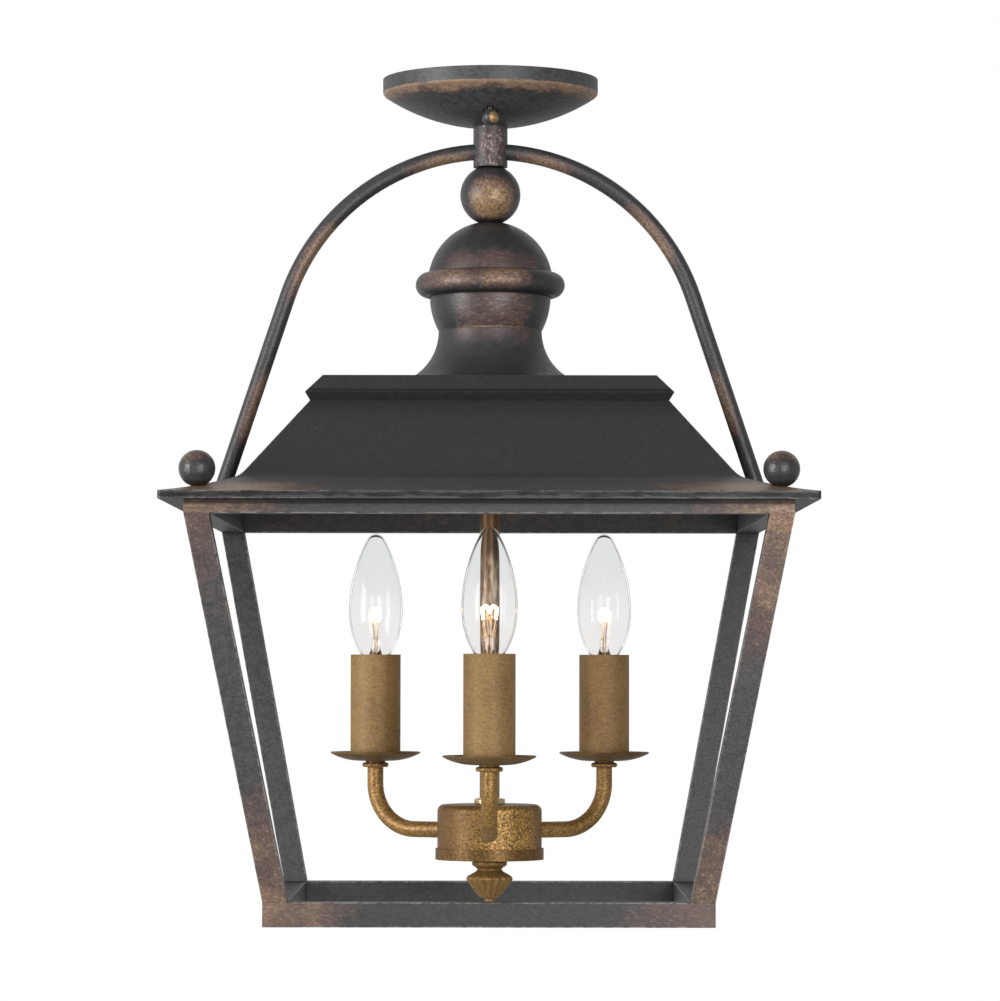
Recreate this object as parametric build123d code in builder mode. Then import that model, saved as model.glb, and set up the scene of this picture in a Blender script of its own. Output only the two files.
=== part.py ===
from build123d import *

import os
from math import asin, atan2, cos, hypot, pi, radians, sin, sqrt

# Lantern ceiling light: a square tapered cage under a hip roof, on a short turned stem below
# a round canopy, with three candle lights inside. Millimetres, +Z up. The origin is the middle
# of the canopy's upper rim, in the plane of the ceiling. The hoop stands in the XZ plane.

os.makedirs("parts", exist_ok=True)

# Clearances
FIT = 0.1  # round a pipe or tube in its hole
THREAD_FIT = 0.08  # round a thread that turns
TURN_GAP = 0.3  # between faces that turn against each other
SEAT_GAP = 0.08  # between a sheet and what lies against it

# Crossbar on the ceiling box, with the canopy's two studs
CROSSBAR_L = 108.0
CROSSBAR_W = 20.0
CROSSBAR_T = 2.0
CROSSBAR_END_R = 5.0
BOX_SCREW_SPACING = 88.9
BOX_SLOT_L = 9.0
BOX_SLOT_W = 4.8
STUD_SPACING = 73.0
STUD_D = 4.1
STUD_NUT_AF = 8.7
STUD_NUT_T = 3.2

# Canopy and its ball knobs
CANOPY_D = 127.0
CANOPY_RIM_H = 8.9
CANOPY_DISH_R = 114.0  # sphere that the dish is a part of
CANOPY_FLAT_R = 12.0  # flat spot that the collar bears on
CANOPY_WALL = 1.2
CANOPY_EDGE_R = 3.0
KNOB_D = 9.8
KNOB_SEAT_D = 8.2  # hole in the canopy that a knob's ball sits in
KNOB_FLAT_R = 2.8
KNOB_THREAD_L = 6.4

# Centre pipe and the nuts that clamp the stack
PIPE_D = 9.8
PIPE_BORE = 6.6
PIPE_STICKOUT = 4.0
PIPE_WIRE_HOLE_D = 6.0  # side hole inside the hub that lets the wires out to the arms
LOCK_NUT_AF = 15.0
LOCK_NUT_T = 4.0
ROOF_WASHER_D = 44.0
ROOF_WASHER_T = 2.0

# Turned and spun stack between canopy and roof
COLLAR_D = 20.2
COLLAR_L = 24.2
BALL_D = 35.5
BALL_FLAT_R = 6.8
DOME_R = 36.9
SPUN_WALL = 1.5
BEAD_D = 14.4  # thickness of the ring's round section
BEAD_DROP = 0.8  # middle of that section below the dome's rim
BEAD_RING_D = 88.0
BOWL_R = 35.6
BOWL_H = 27.9
BOWL_STRAIGHT_H = 7.6
BOWL_FOOT_R = 30.4
NECK_H = 32.6
NECK_FOOT_R = 58.5
NECK_LIP_H = 1.0

# Hoop of round tube
HOOP_TUBE_D = 9.5
HOOP_TUBE_WALL = 1.2
HOOP_CROWN_DROP = 42.4  # ceiling to the middle of the tube at the crown
HOOP_R = 126.2
HOOP_LEAN = 18.5  # degrees between a leg and the vertical
HOOP_SOCKET_L = 3.5

# Roof cap and roof, half widths measured to the outer faces
SHEET = 1.2
CAP_TOP_HW = 94.7
CAP_TIP_HW = 104.4
CAP_BEVEL_H = 10.2
CAP_RETURN_HW = 100.0
CAP_RETURN_H = 7.2
ROOF_TOP_HW = 90.2
SHOULDER_HW = 138.8
SHOULDER_BEND_R = 14.0
EAVE_OVERHANG = 13.5  # eave beyond the cage's top rails
EAVE_DROP = 69.2  # cap's top face to the eave's upper edge
EAVE_PITCH = 7.3  # degrees below level at the eave
FLARE_R = 218.0
HEM_H = 4.4
HEM_CORNER_R = 2.5
FINIAL_BALL_D = 20.4
FINIAL_SINK = 1.0  # how much of the ball its seat on the hip takes off
FINIAL_STUD_D = 4.0
FINIAL_STUD_L = 10.0

# Cage of square tube
BAR = 13.8
BAR_WALL = 1.2
TOP_RAIL_H = 12.8
CAGE_TOP_HW = 168.0
CAGE_FOOT_HW = 126.3
POST_H = 215.6

# Stem tube and hub
STEM_D = 11.7
STEM_BORE = 10.1
STEM_L = 235.2
HUB_NUT_D = 18.2
HUB_NUT_T = 3.5
HUB_CUP_D = 61.3
HUB_CUP_H = 31.0
HUB_CUP_EDGE_R = 4.0
HUB_WALL = 1.2
HUB_COVER_D = 63.6
HUB_COVER_H = 6.5

# Fluted finial under the hub
ACORN_RIM_D = 20.6
ACORN_RIM_H = 3.4
ACORN_NECK_D = 14.0
ACORN_NECK_DROP = 5.6
ACORN_NECK_ROUND = 1.2
ACORN_BULGE_D = 27.6
ACORN_BULGE_DROP = 11.4
ACORN_BULGE_ROUND = 1.6
ACORN_WAIST_D = 11.6
ACORN_WAIST_DROP = 21.6
ACORN_BUTTON_D = 5.8
ACORN_L = 25.2
ACORN_BORE_L = 9.0
FLUTES = 16
FLUTE_D = 5.2
FLUTE_DEPTH = 1.1
FLUTE_END_DEPTH = 0.2

# Arms, candles and bulbs
LIGHTS = 3
FRONT_ARM_ANGLE = -90.0
CANDLE_CIRCLE_R = 78.8
ARM_D = 9.5
ARM_BORE = 7.1
ARM_BEND_R = 27.0
ARM_HUB_DROP = 15.5  # top of the hub cup to the arms' level
ARM_INSIDE_L = 7.0
ARM_NUT_AF = 14.0
ARM_NUT_T = 3.0
ARM_RING_D = 14.3
ARM_RING_H = 2.6
ARM_RING_NECK_D = 11.8
ARM_RING_NECK_H = 1.1
ARM_NIPPLE_L = 9.0
BOBECHE_RISE = 40.2  # arms' level to the underside of the bobeche
BOBECHE_D = 53.8
BOBECHE_DEPTH = 4.6
BOBECHE_FLAT_R = 9.0
BOBECHE_WALL = 0.9
SLEEVE_D = 29.8
SLEEVE_WALL = 1.2
SLEEVE_L = 61.8
HOLDER_D = 17.8
HOLDER_TOP_SET = 4.8  # top of the sleeve down to the lampholder's mouth
BULB_D = 32.0
BULB_OGIVE_R = 91.0
BULB_TIP_R = 5.6
BULB_LOWER_R = 50.0
BULB_NECK_D = 12.8
BULB_GLASS_WALL = 0.8
BULB_NECK_SET = 3.7  # top of the sleeve down to the bottom of the glass
BASE_D = 11.7
BASE_L = 16.0
BASE_CONTACT_D = 5.0
BASE_CONTACT_L = 2.2
MOUNT_FOOT_D = 8.0
MOUNT_STEM_D = 4.4
MOUNT_STEM_L = 13.0
LEAD_D = 0.8
LEAD_L = 15.0
LEAD_SPREAD = 4.2
FILAMENT_RISE = 9.0

# Levels and radii that follow from the sizes above
canopy_r = CANOPY_D / 2
pipe_r = PIPE_D / 2
pipe_hole_r = pipe_r + FIT
dish_mid_z = sqrt(CANOPY_DISH_R**2 - canopy_r**2) - CANOPY_RIM_H


def dish_z(radius):
    """Level of the dish's underside at a distance from the stem's axis."""
    return dish_mid_z - sqrt(CANOPY_DISH_R**2 - radius**2)


canopy_bottom = dish_z(CANOPY_FLAT_R)
collar_bottom = canopy_bottom - COLLAR_L
ball_half_h = sqrt((BALL_D / 2) ** 2 - BALL_FLAT_R**2)
ball_z = collar_bottom - ball_half_h
ball_bottom = ball_z - ball_half_h
dome_z = ball_bottom - sqrt(DOME_R**2 - BALL_FLAT_R**2)
bowl_bottom = dome_z - BOWL_H
cap_top = bowl_bottom - NECK_H
cap_under = cap_top - SHEET

eave_hw = CAGE_TOP_HW + EAVE_OVERHANG
soffit_hw = CAGE_TOP_HW + SEAT_GAP
eave_top = cap_top - EAVE_DROP
eave_bottom = eave_top - HEM_H
flare_x = eave_hw + FLARE_R * sin(radians(EAVE_PITCH))
flare_z = eave_top + FLARE_R * cos(radians(EAVE_PITCH))


def roof_z(half_width, depth=0.0):
    """Level of the flared skirt at a half width, on its outer face or that far below the face."""
    return flare_z - sqrt((FLARE_R + depth) ** 2 - (flare_x - half_width) ** 2)


rail_top = roof_z(CAGE_TOP_HW, SHEET) - SEAT_GAP
rail_bottom = rail_top - TOP_RAIL_H
foot_top = rail_bottom - POST_H
foot_bottom = foot_top - BAR
corner_hw = CAGE_TOP_HW - BAR / 2

washer_bottom = cap_under - ROOF_WASHER_T
stem_top = washer_bottom - LOCK_NUT_T
stem_bottom = stem_top - STEM_L
hub_top = stem_bottom - HUB_NUT_T
hub_bottom = hub_top - HUB_CUP_H
cover_bottom = hub_bottom - HUB_WALL
acorn_top = cover_bottom - TURN_GAP
pipe_top = canopy_bottom + CANOPY_WALL + LOCK_NUT_T + PIPE_STICKOUT
pipe_bottom = acorn_top - ACORN_BORE_L + TURN_GAP

arm_z = hub_top - ARM_HUB_DROP
bobeche_bottom = arm_z + BOBECHE_RISE
ring_bottom = bobeche_bottom - ARM_RING_NECK_H - ARM_RING_H
bobeche_floor = bobeche_bottom + BOBECHE_WALL
bobeche_arc_r = ((BOBECHE_D / 2 - BOBECHE_FLAT_R) ** 2 + BOBECHE_DEPTH**2) / (2 * BOBECHE_DEPTH)
sleeve_r = SLEEVE_D / 2
sleeve_seat = bobeche_bottom + bobeche_arc_r - sqrt(
    (bobeche_arc_r - BOBECHE_WALL) ** 2 - (sleeve_r - BOBECHE_FLAT_R) ** 2
)
sleeve_bottom = sleeve_seat + SEAT_GAP
sleeve_top = sleeve_bottom + SLEEVE_L
holder_top = sleeve_top - HOLDER_TOP_SET
glass_bottom = sleeve_top - BULB_NECK_SET
base_bottom = glass_bottom - BASE_L
contact_bottom = base_bottom - BASE_CONTACT_L
nipple_top = bobeche_floor + ARM_NIPPLE_L
seat_edge_z = dish_z((STUD_SPACING - KNOB_SEAT_D) / 2)
knob_z = seat_edge_z - sqrt((KNOB_D / 2 + TURN_GAP) ** 2 - (KNOB_SEAT_D / 2) ** 2)
knob_top = knob_z + sqrt((KNOB_D / 2) ** 2 - KNOB_FLAT_R**2)
stud_bottom = knob_top - KNOB_THREAD_L
arm_angles = [FRONT_ARM_ANGLE + 360.0 / LIGHTS * n for n in range(LIGHTS)]


def upright(angle, distance=0.0):
    """Vertical plane through the point at this angle and distance, its x pointing away from the stem."""
    out = Vector(cos(radians(angle)), sin(radians(angle)), 0)
    return Plane(origin=out * distance, x_dir=out, z_dir=out.cross(Vector(0, 0, 1)))


def facing(angle, distance=0.0):
    """Vertical plane whose normal points away from the stem at this angle, its y pointing up."""
    out = Vector(cos(radians(angle)), sin(radians(angle)), 0)
    return Plane(origin=out * distance, x_dir=Vector(0, 0, 1).cross(out), z_dir=out)


def upright_axis(angle, distance):
    """Vertical axis through the point at this angle and distance from the stem."""
    return Axis((distance * cos(radians(angle)), distance * sin(radians(angle)), 0), (0, 0, 1))


def mitre(low, high):
    """Quarter of a square block, cut along its diagonals, on the +X side."""
    with BuildPart() as wedge:
        with BuildSketch(Plane.XY.offset(low)):
            with BuildLine():
                Polyline((0, 0), (2 * eave_hw, 2 * eave_hw), (2 * eave_hw, -2 * eave_hw), close=True)
            make_face()
        extrude(amount=high - low)
    return wedge.part


shoulder = (SHOULDER_HW, roof_z(SHOULDER_HW))


def draw_roof_line(lift):
    """Outer line of the roof's section, from below the cap to the eave's upper edge."""
    bend = (SHOULDER_HW, roof_z(SHOULDER_HW) + lift)
    halfway = (SHOULDER_HW + eave_hw) / 2
    Line((ROOF_TOP_HW, cap_under - SEAT_GAP + lift), bend)
    ThreePointArc(bend, (halfway, roof_z(halfway) + lift), (eave_hw, eave_top + lift))


# Crossbar: strap with two box slots, two stud holes and a middle hole for the wires
with BuildPart() as crossbar:
    with BuildSketch(Plane.XY.offset(-CROSSBAR_T)):
        RectangleRounded(CROSSBAR_W, CROSSBAR_L, CROSSBAR_END_R)
        Circle(pipe_hole_r, mode=Mode.SUBTRACT)
        with GridLocations(0, BOX_SCREW_SPACING, 1, 2):
            SlotOverall(BOX_SLOT_L, BOX_SLOT_W, rotation=90, mode=Mode.SUBTRACT)
        with GridLocations(0, STUD_SPACING, 1, 2):
            Circle(STUD_D / 2 + THREAD_FIT, mode=Mode.SUBTRACT)
    extrude(amount=CROSSBAR_T)
crossbar.part.label = "crossbar"
export_step(crossbar.part, "parts/crossbar.step")

# Two studs that hang from the crossbar and carry the canopy
with BuildPart() as canopy_studs:
    with BuildSketch(Plane.XY.offset(stud_bottom)):
        with GridLocations(0, STUD_SPACING, 1, 2):
            Circle(STUD_D / 2)
    extrude(amount=-stud_bottom)
canopy_studs.part.label = "canopy_studs"
export_step(canopy_studs.part, "parts/canopy_studs.step")

with BuildPart() as stud_nuts:
    with BuildSketch(Plane.XY.offset(-CROSSBAR_T - STUD_NUT_T)):
        with GridLocations(0, STUD_SPACING, 1, 2):
            RegularPolygon(STUD_NUT_AF / 2, 6, major_radius=False)
            Circle(STUD_D / 2 + THREAD_FIT, mode=Mode.SUBTRACT)
    extrude(amount=STUD_NUT_T)
stud_nuts.part.label = "stud_nuts"
export_step(stud_nuts.part, "parts/stud_nuts.step")

# Canopy: spun dish with an upright rim, open to the ceiling
with BuildPart() as canopy:
    with BuildSketch(Plane.XZ):
        with BuildLine():
            halfway = (CANOPY_FLAT_R + canopy_r) / 2
            Polyline(
                (CANOPY_FLAT_R, canopy_bottom),
                (0, canopy_bottom),
                (0, 0),
                (canopy_r, 0),
                (canopy_r, -CANOPY_RIM_H),
            )
            ThreePointArc(
                (canopy_r, -CANOPY_RIM_H), (halfway, dish_z(halfway)), (CANOPY_FLAT_R, canopy_bottom)
            )
        make_face()
    revolve(axis=Axis.Z)
    rim_edge = canopy.edges().filter_by_position(Axis.Z, -CANOPY_RIM_H - FIT, -CANOPY_RIM_H + FIT)
    fillet(rim_edge, CANOPY_EDGE_R)
    offset(amount=-CANOPY_WALL, openings=canopy.faces().sort_by(Axis.Z)[-1])
    with Locations((0, 0, canopy_bottom)):
        Cylinder(pipe_hole_r, -canopy_bottom, align=(Align.CENTER, Align.CENTER, Align.CENTER),
                 mode=Mode.SUBTRACT)
    with GridLocations(0, STUD_SPACING, 1, 2):
        Cylinder(KNOB_SEAT_D / 2, -2 * canopy_bottom, mode=Mode.SUBTRACT)
canopy.part.label = "canopy"
export_step(canopy.part, "parts/canopy.step")

# Ball knobs that turn on the studs, sit in the canopy's holes and press it up
for name, side in (("canopy_knob_front", -1), ("canopy_knob_rear", 1)):
    with BuildPart() as knob:
        with Locations((0, side * STUD_SPACING / 2, knob_z)):
            Sphere(KNOB_D / 2)
        split(bisect_by=Plane.XY.offset(knob_top), keep=Keep.BOTTOM)
        with BuildSketch(Plane.XY.offset(knob_top)):
            with Locations((0, side * STUD_SPACING / 2)):
                Circle(STUD_D / 2 + THREAD_FIT)
        extrude(amount=-KNOB_THREAD_L - TURN_GAP, mode=Mode.SUBTRACT)
    knob.part.label = name
    export_step(knob.part, f"parts/{name}.step")

# Lock nut that clamps the canopy on the centre pipe
with BuildPart() as canopy_lock_nut:
    with BuildSketch(Plane.XY.offset(canopy_bottom + CANOPY_WALL)):
        RegularPolygon(LOCK_NUT_AF / 2, 6, major_radius=False)
        Circle(pipe_hole_r, mode=Mode.SUBTRACT)
    extrude(amount=LOCK_NUT_T)
canopy_lock_nut.part.label = "canopy_lock_nut"
export_step(canopy_lock_nut.part, "parts/canopy_lock_nut.step")

# Centre pipe: hollow, from the canopy through roof and hub to the fluted finial
with BuildPart() as center_pipe:
    with BuildSketch(Plane.XY.offset(pipe_bottom)):
        Circle(pipe_r)
        Circle(PIPE_BORE / 2, mode=Mode.SUBTRACT)
    extrude(amount=pipe_top - pipe_bottom)
    with BuildSketch(facing(FRONT_ARM_ANGLE)):
        with Locations((0, arm_z)):
            Circle(PIPE_WIRE_HOLE_D / 2)
    extrude(amount=PIPE_D, mode=Mode.SUBTRACT)
center_pipe.part.label = "center_pipe"
export_step(center_pipe.part, "parts/center_pipe.step")

# Collar with a socket on each side for the hoop's ends
hoop_mid_z = -HOOP_CROWN_DROP - HOOP_R
hoop_start_x = COLLAR_D / 2 - HOOP_SOCKET_L
hoop_start_z = hoop_mid_z + sqrt(HOOP_R**2 - hoop_start_x**2)
hoop_start_turn = asin(hoop_start_x / HOOP_R)
with BuildPart() as stem_collar:
    with BuildSketch(Plane.XY.offset(collar_bottom)):
        Circle(COLLAR_D / 2)
        Circle(pipe_hole_r, mode=Mode.SUBTRACT)
    extrude(amount=COLLAR_L)
    for side in (-1, 1):
        outward = Vector(side * cos(hoop_start_turn), 0, -sin(hoop_start_turn))
        with BuildSketch(Plane((side * hoop_start_x, 0, hoop_start_z), z_dir=outward)):
            Circle(HOOP_TUBE_D / 2 + FIT)
        extrude(amount=COLLAR_D, mode=Mode.SUBTRACT)
stem_collar.part.label = "stem_collar"
export_step(stem_collar.part, "parts/stem_collar.step")

# Ball, bored for the pipe, with a narrow flat above and below
with BuildPart() as ball_spacer:
    with Locations((0, 0, ball_z)):
        Sphere(BALL_D / 2)
    split(bisect_by=Plane.XY.offset(collar_bottom), keep=Keep.BOTTOM)
    split(bisect_by=Plane.XY.offset(ball_bottom), keep=Keep.TOP)
    with Locations((0, 0, ball_z)):
        Cylinder(pipe_hole_r, 2 * BALL_D, mode=Mode.SUBTRACT)
ball_spacer.part.label = "ball_spacer"
export_step(ball_spacer.part, "parts/ball_spacer.step")

# Dome: half a hollow sphere, its pole flattened for the ball
with BuildPart() as dome_cap:
    with Locations((0, 0, dome_z)):
        Sphere(DOME_R)
        Sphere(DOME_R - SPUN_WALL, mode=Mode.SUBTRACT)
    split(bisect_by=Plane.XY.offset(ball_bottom), keep=Keep.BOTTOM)
    split(bisect_by=Plane.XY.offset(dome_z), keep=Keep.TOP)
    with Locations((0, 0, ball_bottom)):
        Cylinder(pipe_hole_r, DOME_R, mode=Mode.SUBTRACT)
dome_cap.part.label = "dome_cap"
export_step(dome_cap.part, "parts/dome_cap.step")

# Bead ring round the joint between dome and bowl
bead_mid_r = (BEAD_RING_D - BEAD_D) / 2
with BuildPart() as bead_ring:
    with BuildSketch(Plane.XZ):
        with Locations((bead_mid_r, dome_z - BEAD_DROP)):
            Circle(BEAD_D / 2)
    revolve(axis=Axis.Z)
    with Locations((0, 0, dome_z)):
        Sphere(DOME_R + SEAT_GAP, mode=Mode.SUBTRACT)
bead_ring.part.label = "bead_ring"
export_step(bead_ring.part, "parts/bead_ring.step")

# Bowl: straight below the bead, then drawn in to the seam with the neck
with BuildPart() as dome_bowl:
    with BuildSketch(Plane.XZ):
        with BuildLine():
            Line((BOWL_R, dome_z), (BOWL_R, dome_z - BOWL_STRAIGHT_H))
            TangentArc(
                (BOWL_R, dome_z - BOWL_STRAIGHT_H), (BOWL_FOOT_R, bowl_bottom), tangent=(0, -1)
            )
            Polyline((BOWL_FOOT_R, bowl_bottom), (0, bowl_bottom), (0, dome_z), (BOWL_R, dome_z))
        make_face()
    revolve(axis=Axis.Z)
    ends = dome_bowl.faces().filter_by(GeomType.PLANE)
    offset(amount=-SPUN_WALL, openings=ends)
dome_bowl.part.label = "dome_bowl"
export_step(dome_bowl.part, "parts/dome_bowl.step")

# Neck: cove that flares out on to the roof cap
neck_run = NECK_FOOT_R - BOWL_FOOT_R
cove_r = (neck_run**2 + (NECK_H - NECK_LIP_H) ** 2) / (2 * neck_run)
neck_bore = BOWL_FOOT_R + cove_r - sqrt((cove_r + SPUN_WALL) ** 2 - NECK_H**2)
with BuildPart() as neck_flare:
    with BuildSketch(Plane.XZ):
        with BuildLine():
            TangentArc(
                (BOWL_FOOT_R, bowl_bottom), (NECK_FOOT_R, cap_top + NECK_LIP_H), tangent=(0, -1)
            )
            Polyline(
                (NECK_FOOT_R, cap_top + NECK_LIP_H), (NECK_FOOT_R, cap_top), (neck_bore, cap_top)
            )
            TangentArc(
                (BOWL_FOOT_R - SPUN_WALL, bowl_bottom), (neck_bore, cap_top), tangent=(0, -1)
            )
            Line((BOWL_FOOT_R - SPUN_WALL, bowl_bottom), (BOWL_FOOT_R, bowl_bottom))
        make_face()
    revolve(axis=Axis.Z)
neck_flare.part.label = "neck_flare"
export_step(neck_flare.part, "parts/neck_flare.step")

# Space under the roof's outer face, which trims what sits on the roof
roof_wedge = mitre(2 * eave_bottom, 0)
with BuildPart() as under_roof:
    with BuildSketch(Plane.XZ) as under_section:
        with BuildLine():
            draw_roof_line(SEAT_GAP)
            Polyline(
                (eave_hw, eave_top + SEAT_GAP),
                (eave_hw, eave_bottom),
                (0, eave_bottom),
                (0, cap_under),
                (ROOF_TOP_HW, cap_under),
            )
        make_face()
        fillet(under_section.vertices().sort_by_distance(shoulder)[0], SHOULDER_BEND_R)
    extrude(amount=eave_hw, both=True)
    add(roof_wedge, mode=Mode.INTERSECT)
    under_side = under_roof.part
    for turn in (90, 180, 270):
        add(under_side.rotate(Axis.Z, turn))

# Roof cap: square plate, bevelled down to a drip edge and turned in against the roof
with BuildPart() as roof_cap:
    with BuildSketch(Plane.XZ):
        with BuildLine():
            Polyline(
                (0, cap_top),
                (CAP_TOP_HW, cap_top),
                (CAP_TIP_HW, cap_top - CAP_BEVEL_H),
                (CAP_RETURN_HW, cap_top - CAP_BEVEL_H - CAP_RETURN_H),
            )
            offset(amount=SHEET, side=Side.RIGHT)
        make_face()
    extrude(amount=CAP_TIP_HW, both=True)
    add(roof_wedge, mode=Mode.INTERSECT)
    cap_side = roof_cap.part
    for turn in (90, 180, 270):
        add(cap_side.rotate(Axis.Z, turn))
    add(under_roof.part, mode=Mode.SUBTRACT)
    with Locations((0, 0, cap_top)):
        Cylinder(pipe_hole_r, 4 * SHEET, mode=Mode.SUBTRACT)
roof_cap.part.label = "roof_cap"
export_step(roof_cap.part, "parts/roof_cap.step")

# Roof: four mitred sheet sides, flared to a deep eave that turns in to the cage's rails
with BuildPart() as roof:
    with BuildSketch(Plane.XZ):
        with BuildLine() as roof_line:
            draw_roof_line(0)
            Polyline((eave_hw, eave_top), (eave_hw, eave_bottom), (soffit_hw, eave_bottom))
            fillet(roof_line.vertices().sort_by_distance(shoulder)[0], SHOULDER_BEND_R)
            offset(amount=SHEET, side=Side.RIGHT)
        make_face()
    extrude(amount=eave_hw, both=True)
    add(roof_wedge, mode=Mode.INTERSECT)
    roof_side = roof.part
    for turn in (90, 180, 270):
        add(roof_side.rotate(Axis.Z, turn))
    hem_corners = roof.edges().filter_by(Axis.Z).group_by(lambda e: hypot(e.center().X, e.center().Y))[-1]
    fillet(hem_corners, HEM_CORNER_R)
    with GridLocations(2 * corner_hw, 2 * corner_hw, 2, 2):
        Cylinder(FINIAL_STUD_D / 2 + FIT, -2 * eave_bottom, mode=Mode.SUBTRACT)
roof.part.label = "roof"
export_step(roof.part, "parts/roof.step")

# Washer and nut that clamp the stack on the roof cap from below
with BuildPart() as roof_washer:
    with BuildSketch(Plane.XY.offset(washer_bottom)):
        Circle(ROOF_WASHER_D / 2)
        Circle(pipe_hole_r, mode=Mode.SUBTRACT)
    extrude(amount=ROOF_WASHER_T)
roof_washer.part.label = "roof_washer"
export_step(roof_washer.part, "parts/roof_washer.step")

with BuildPart() as roof_nut:
    with BuildSketch(Plane.XY.offset(stem_top)):
        RegularPolygon(LOCK_NUT_AF / 2, 6, major_radius=False)
        Circle(pipe_hole_r, mode=Mode.SUBTRACT)
    extrude(amount=LOCK_NUT_T)
roof_nut.part.label = "roof_nut"
export_step(roof_nut.part, "parts/roof_nut.step")

# Ball finials on the roof's corners, each with a stud into the cage below
finial_z = roof_z(corner_hw) + FINIAL_BALL_D / 2 - FINIAL_SINK
with BuildPart() as corner_finials:
    with GridLocations(2 * corner_hw, 2 * corner_hw, 2, 2):
        with Locations((0, 0, finial_z)):
            Sphere(FINIAL_BALL_D / 2)
    add(under_roof.part, mode=Mode.SUBTRACT)
    with BuildSketch(Plane.XY.offset(rail_top - FINIAL_STUD_L)):
        with GridLocations(2 * corner_hw, 2 * corner_hw, 2, 2):
            Circle(FINIAL_STUD_D / 2)
    extrude(amount=finial_z - rail_top + FINIAL_STUD_L)
corner_finials.part.label = "corner_finials"
export_step(corner_finials.part, "parts/corner_finials.step")

# Hoop: two bent tubes from the collar down to the middle of the roof's left and right eaves
lean = radians(HOOP_LEAN)
knee = (HOOP_R * cos(lean), hoop_mid_z + HOOP_R * sin(lean))
foot_z = eave_bottom + HOOP_TUBE_D / 2
foot = (knee[0] + (knee[1] - foot_z) * sin(lean) / cos(lean), foot_z)
for name, angle in (("hoop_right", 0), ("hoop_left", 180)):
    with BuildPart() as hoop:
        with BuildLine(upright(angle)) as bow:
            half_turn = (hoop_start_turn + pi / 2 - lean) / 2
            ThreePointArc(
                (hoop_start_x, hoop_start_z),
                (HOOP_R * sin(half_turn), hoop_mid_z + HOOP_R * cos(half_turn)),
                knee,
            )
            Line(knee, foot)
        with BuildSketch(Plane(bow.line @ 0, z_dir=bow.line % 0)):
            Circle(HOOP_TUBE_D / 2)
            Circle(HOOP_TUBE_D / 2 - HOOP_TUBE_WALL, mode=Mode.SUBTRACT)
        sweep()
        add(under_roof.part, mode=Mode.SUBTRACT)
    hoop.part.label = name
    export_step(hoop.part, f"parts/{name}.step")

# Cage rails: square tube, mitred at the corners, four above and four below
sides = (("right", 0), ("rear", 90), ("left", 180), ("front", 270))
rail_levels = (("top", CAGE_TOP_HW, rail_top, TOP_RAIL_H), ("bottom", CAGE_FOOT_HW, foot_top, BAR))
for level, half_width, top, height in rail_levels:
    rail_wedge = mitre(top - 2 * BAR, top + BAR)
    for side, turn in sides:
        with BuildPart() as rail:
            with BuildSketch(Plane.XZ):
                with Locations((half_width - BAR / 2, top - height / 2)):
                    Rectangle(BAR, height)
                    Rectangle(BAR - 2 * BAR_WALL, height - 2 * BAR_WALL, mode=Mode.SUBTRACT)
            extrude(amount=half_width, both=True)
            add(rail_wedge, mode=Mode.INTERSECT)
            if level == "top":
                with GridLocations(2 * corner_hw, 2 * corner_hw, 2, 2):
                    with Locations((0, 0, top)):
                        Cylinder(FINIAL_STUD_D / 2 + FIT, BAR, mode=Mode.SUBTRACT)
        rail_solid = rail.part.rotate(Axis.Z, turn)
        rail_solid.label = f"{level}_rail_{side}"
        export_step(rail_solid, f"parts/{level}_rail_{side}.step")

# Corner posts: square tube, leaning in from the top rails to the bottom rails
corners = (
    ("front_left", -1, -1),
    ("front_right", 1, -1),
    ("rear_left", -1, 1),
    ("rear_right", 1, 1),
)
for corner, x_side, y_side in corners:
    with BuildPart() as post:
        for wall, mode in ((0, Mode.ADD), (BAR_WALL, Mode.SUBTRACT)):
            for level, half_width in ((rail_bottom, CAGE_TOP_HW), (foot_top, CAGE_FOOT_HW)):
                middle = half_width - BAR / 2
                with BuildSketch(Plane.XY.offset(level)):
                    with Locations((x_side * middle, y_side * middle)):
                        Rectangle(BAR - 2 * wall, BAR - 2 * wall)
            loft(ruled=True, mode=mode)
    post.part.label = f"corner_post_{corner}"
    export_step(post.part, f"parts/corner_post_{corner}.step")

# Stem tube round the pipe, from the roof nut down to the hub nut
with BuildPart() as stem_tube:
    with BuildSketch(Plane.XY.offset(stem_bottom)):
        Circle(STEM_D / 2)
        Circle(STEM_BORE / 2, mode=Mode.SUBTRACT)
    extrude(amount=STEM_L)
stem_tube.part.label = "stem_tube"
export_step(stem_tube.part, "parts/stem_tube.step")

with BuildPart() as hub_nut:
    with BuildSketch(Plane.XY.offset(hub_top)):
        Circle(HUB_NUT_D / 2)
        Circle(pipe_hole_r, mode=Mode.SUBTRACT)
    extrude(amount=HUB_NUT_T)
    chamfer(hub_nut.edges().filter_by(GeomType.CIRCLE).group_by(SortBy.RADIUS)[-1], HUB_NUT_T / 6)
hub_nut.part.label = "hub_nut"
export_step(hub_nut.part, "parts/hub_nut.step")

# Hub cup: drawn cup, mouth down, with a hole in its wall for each arm
with BuildPart() as hub_cup:
    with BuildSketch(Plane.XY.offset(hub_bottom)):
        Circle(HUB_CUP_D / 2)
    extrude(amount=HUB_CUP_H)
    fillet(hub_cup.edges().sort_by(Axis.Z)[-1], HUB_CUP_EDGE_R)
    offset(amount=-HUB_WALL, openings=hub_cup.faces().sort_by(Axis.Z)[0])
    with Locations((0, 0, hub_top)):
        Cylinder(pipe_hole_r, 4 * HUB_WALL, mode=Mode.SUBTRACT)
    for angle in arm_angles:
        with BuildSketch(facing(angle)):
            with Locations((0, arm_z)):
                Circle(ARM_D / 2 + FIT)
        extrude(amount=HUB_CUP_D, mode=Mode.SUBTRACT)
hub_cup.part.label = "hub_cup"
export_step(hub_cup.part, "parts/hub_cup.step")

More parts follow.
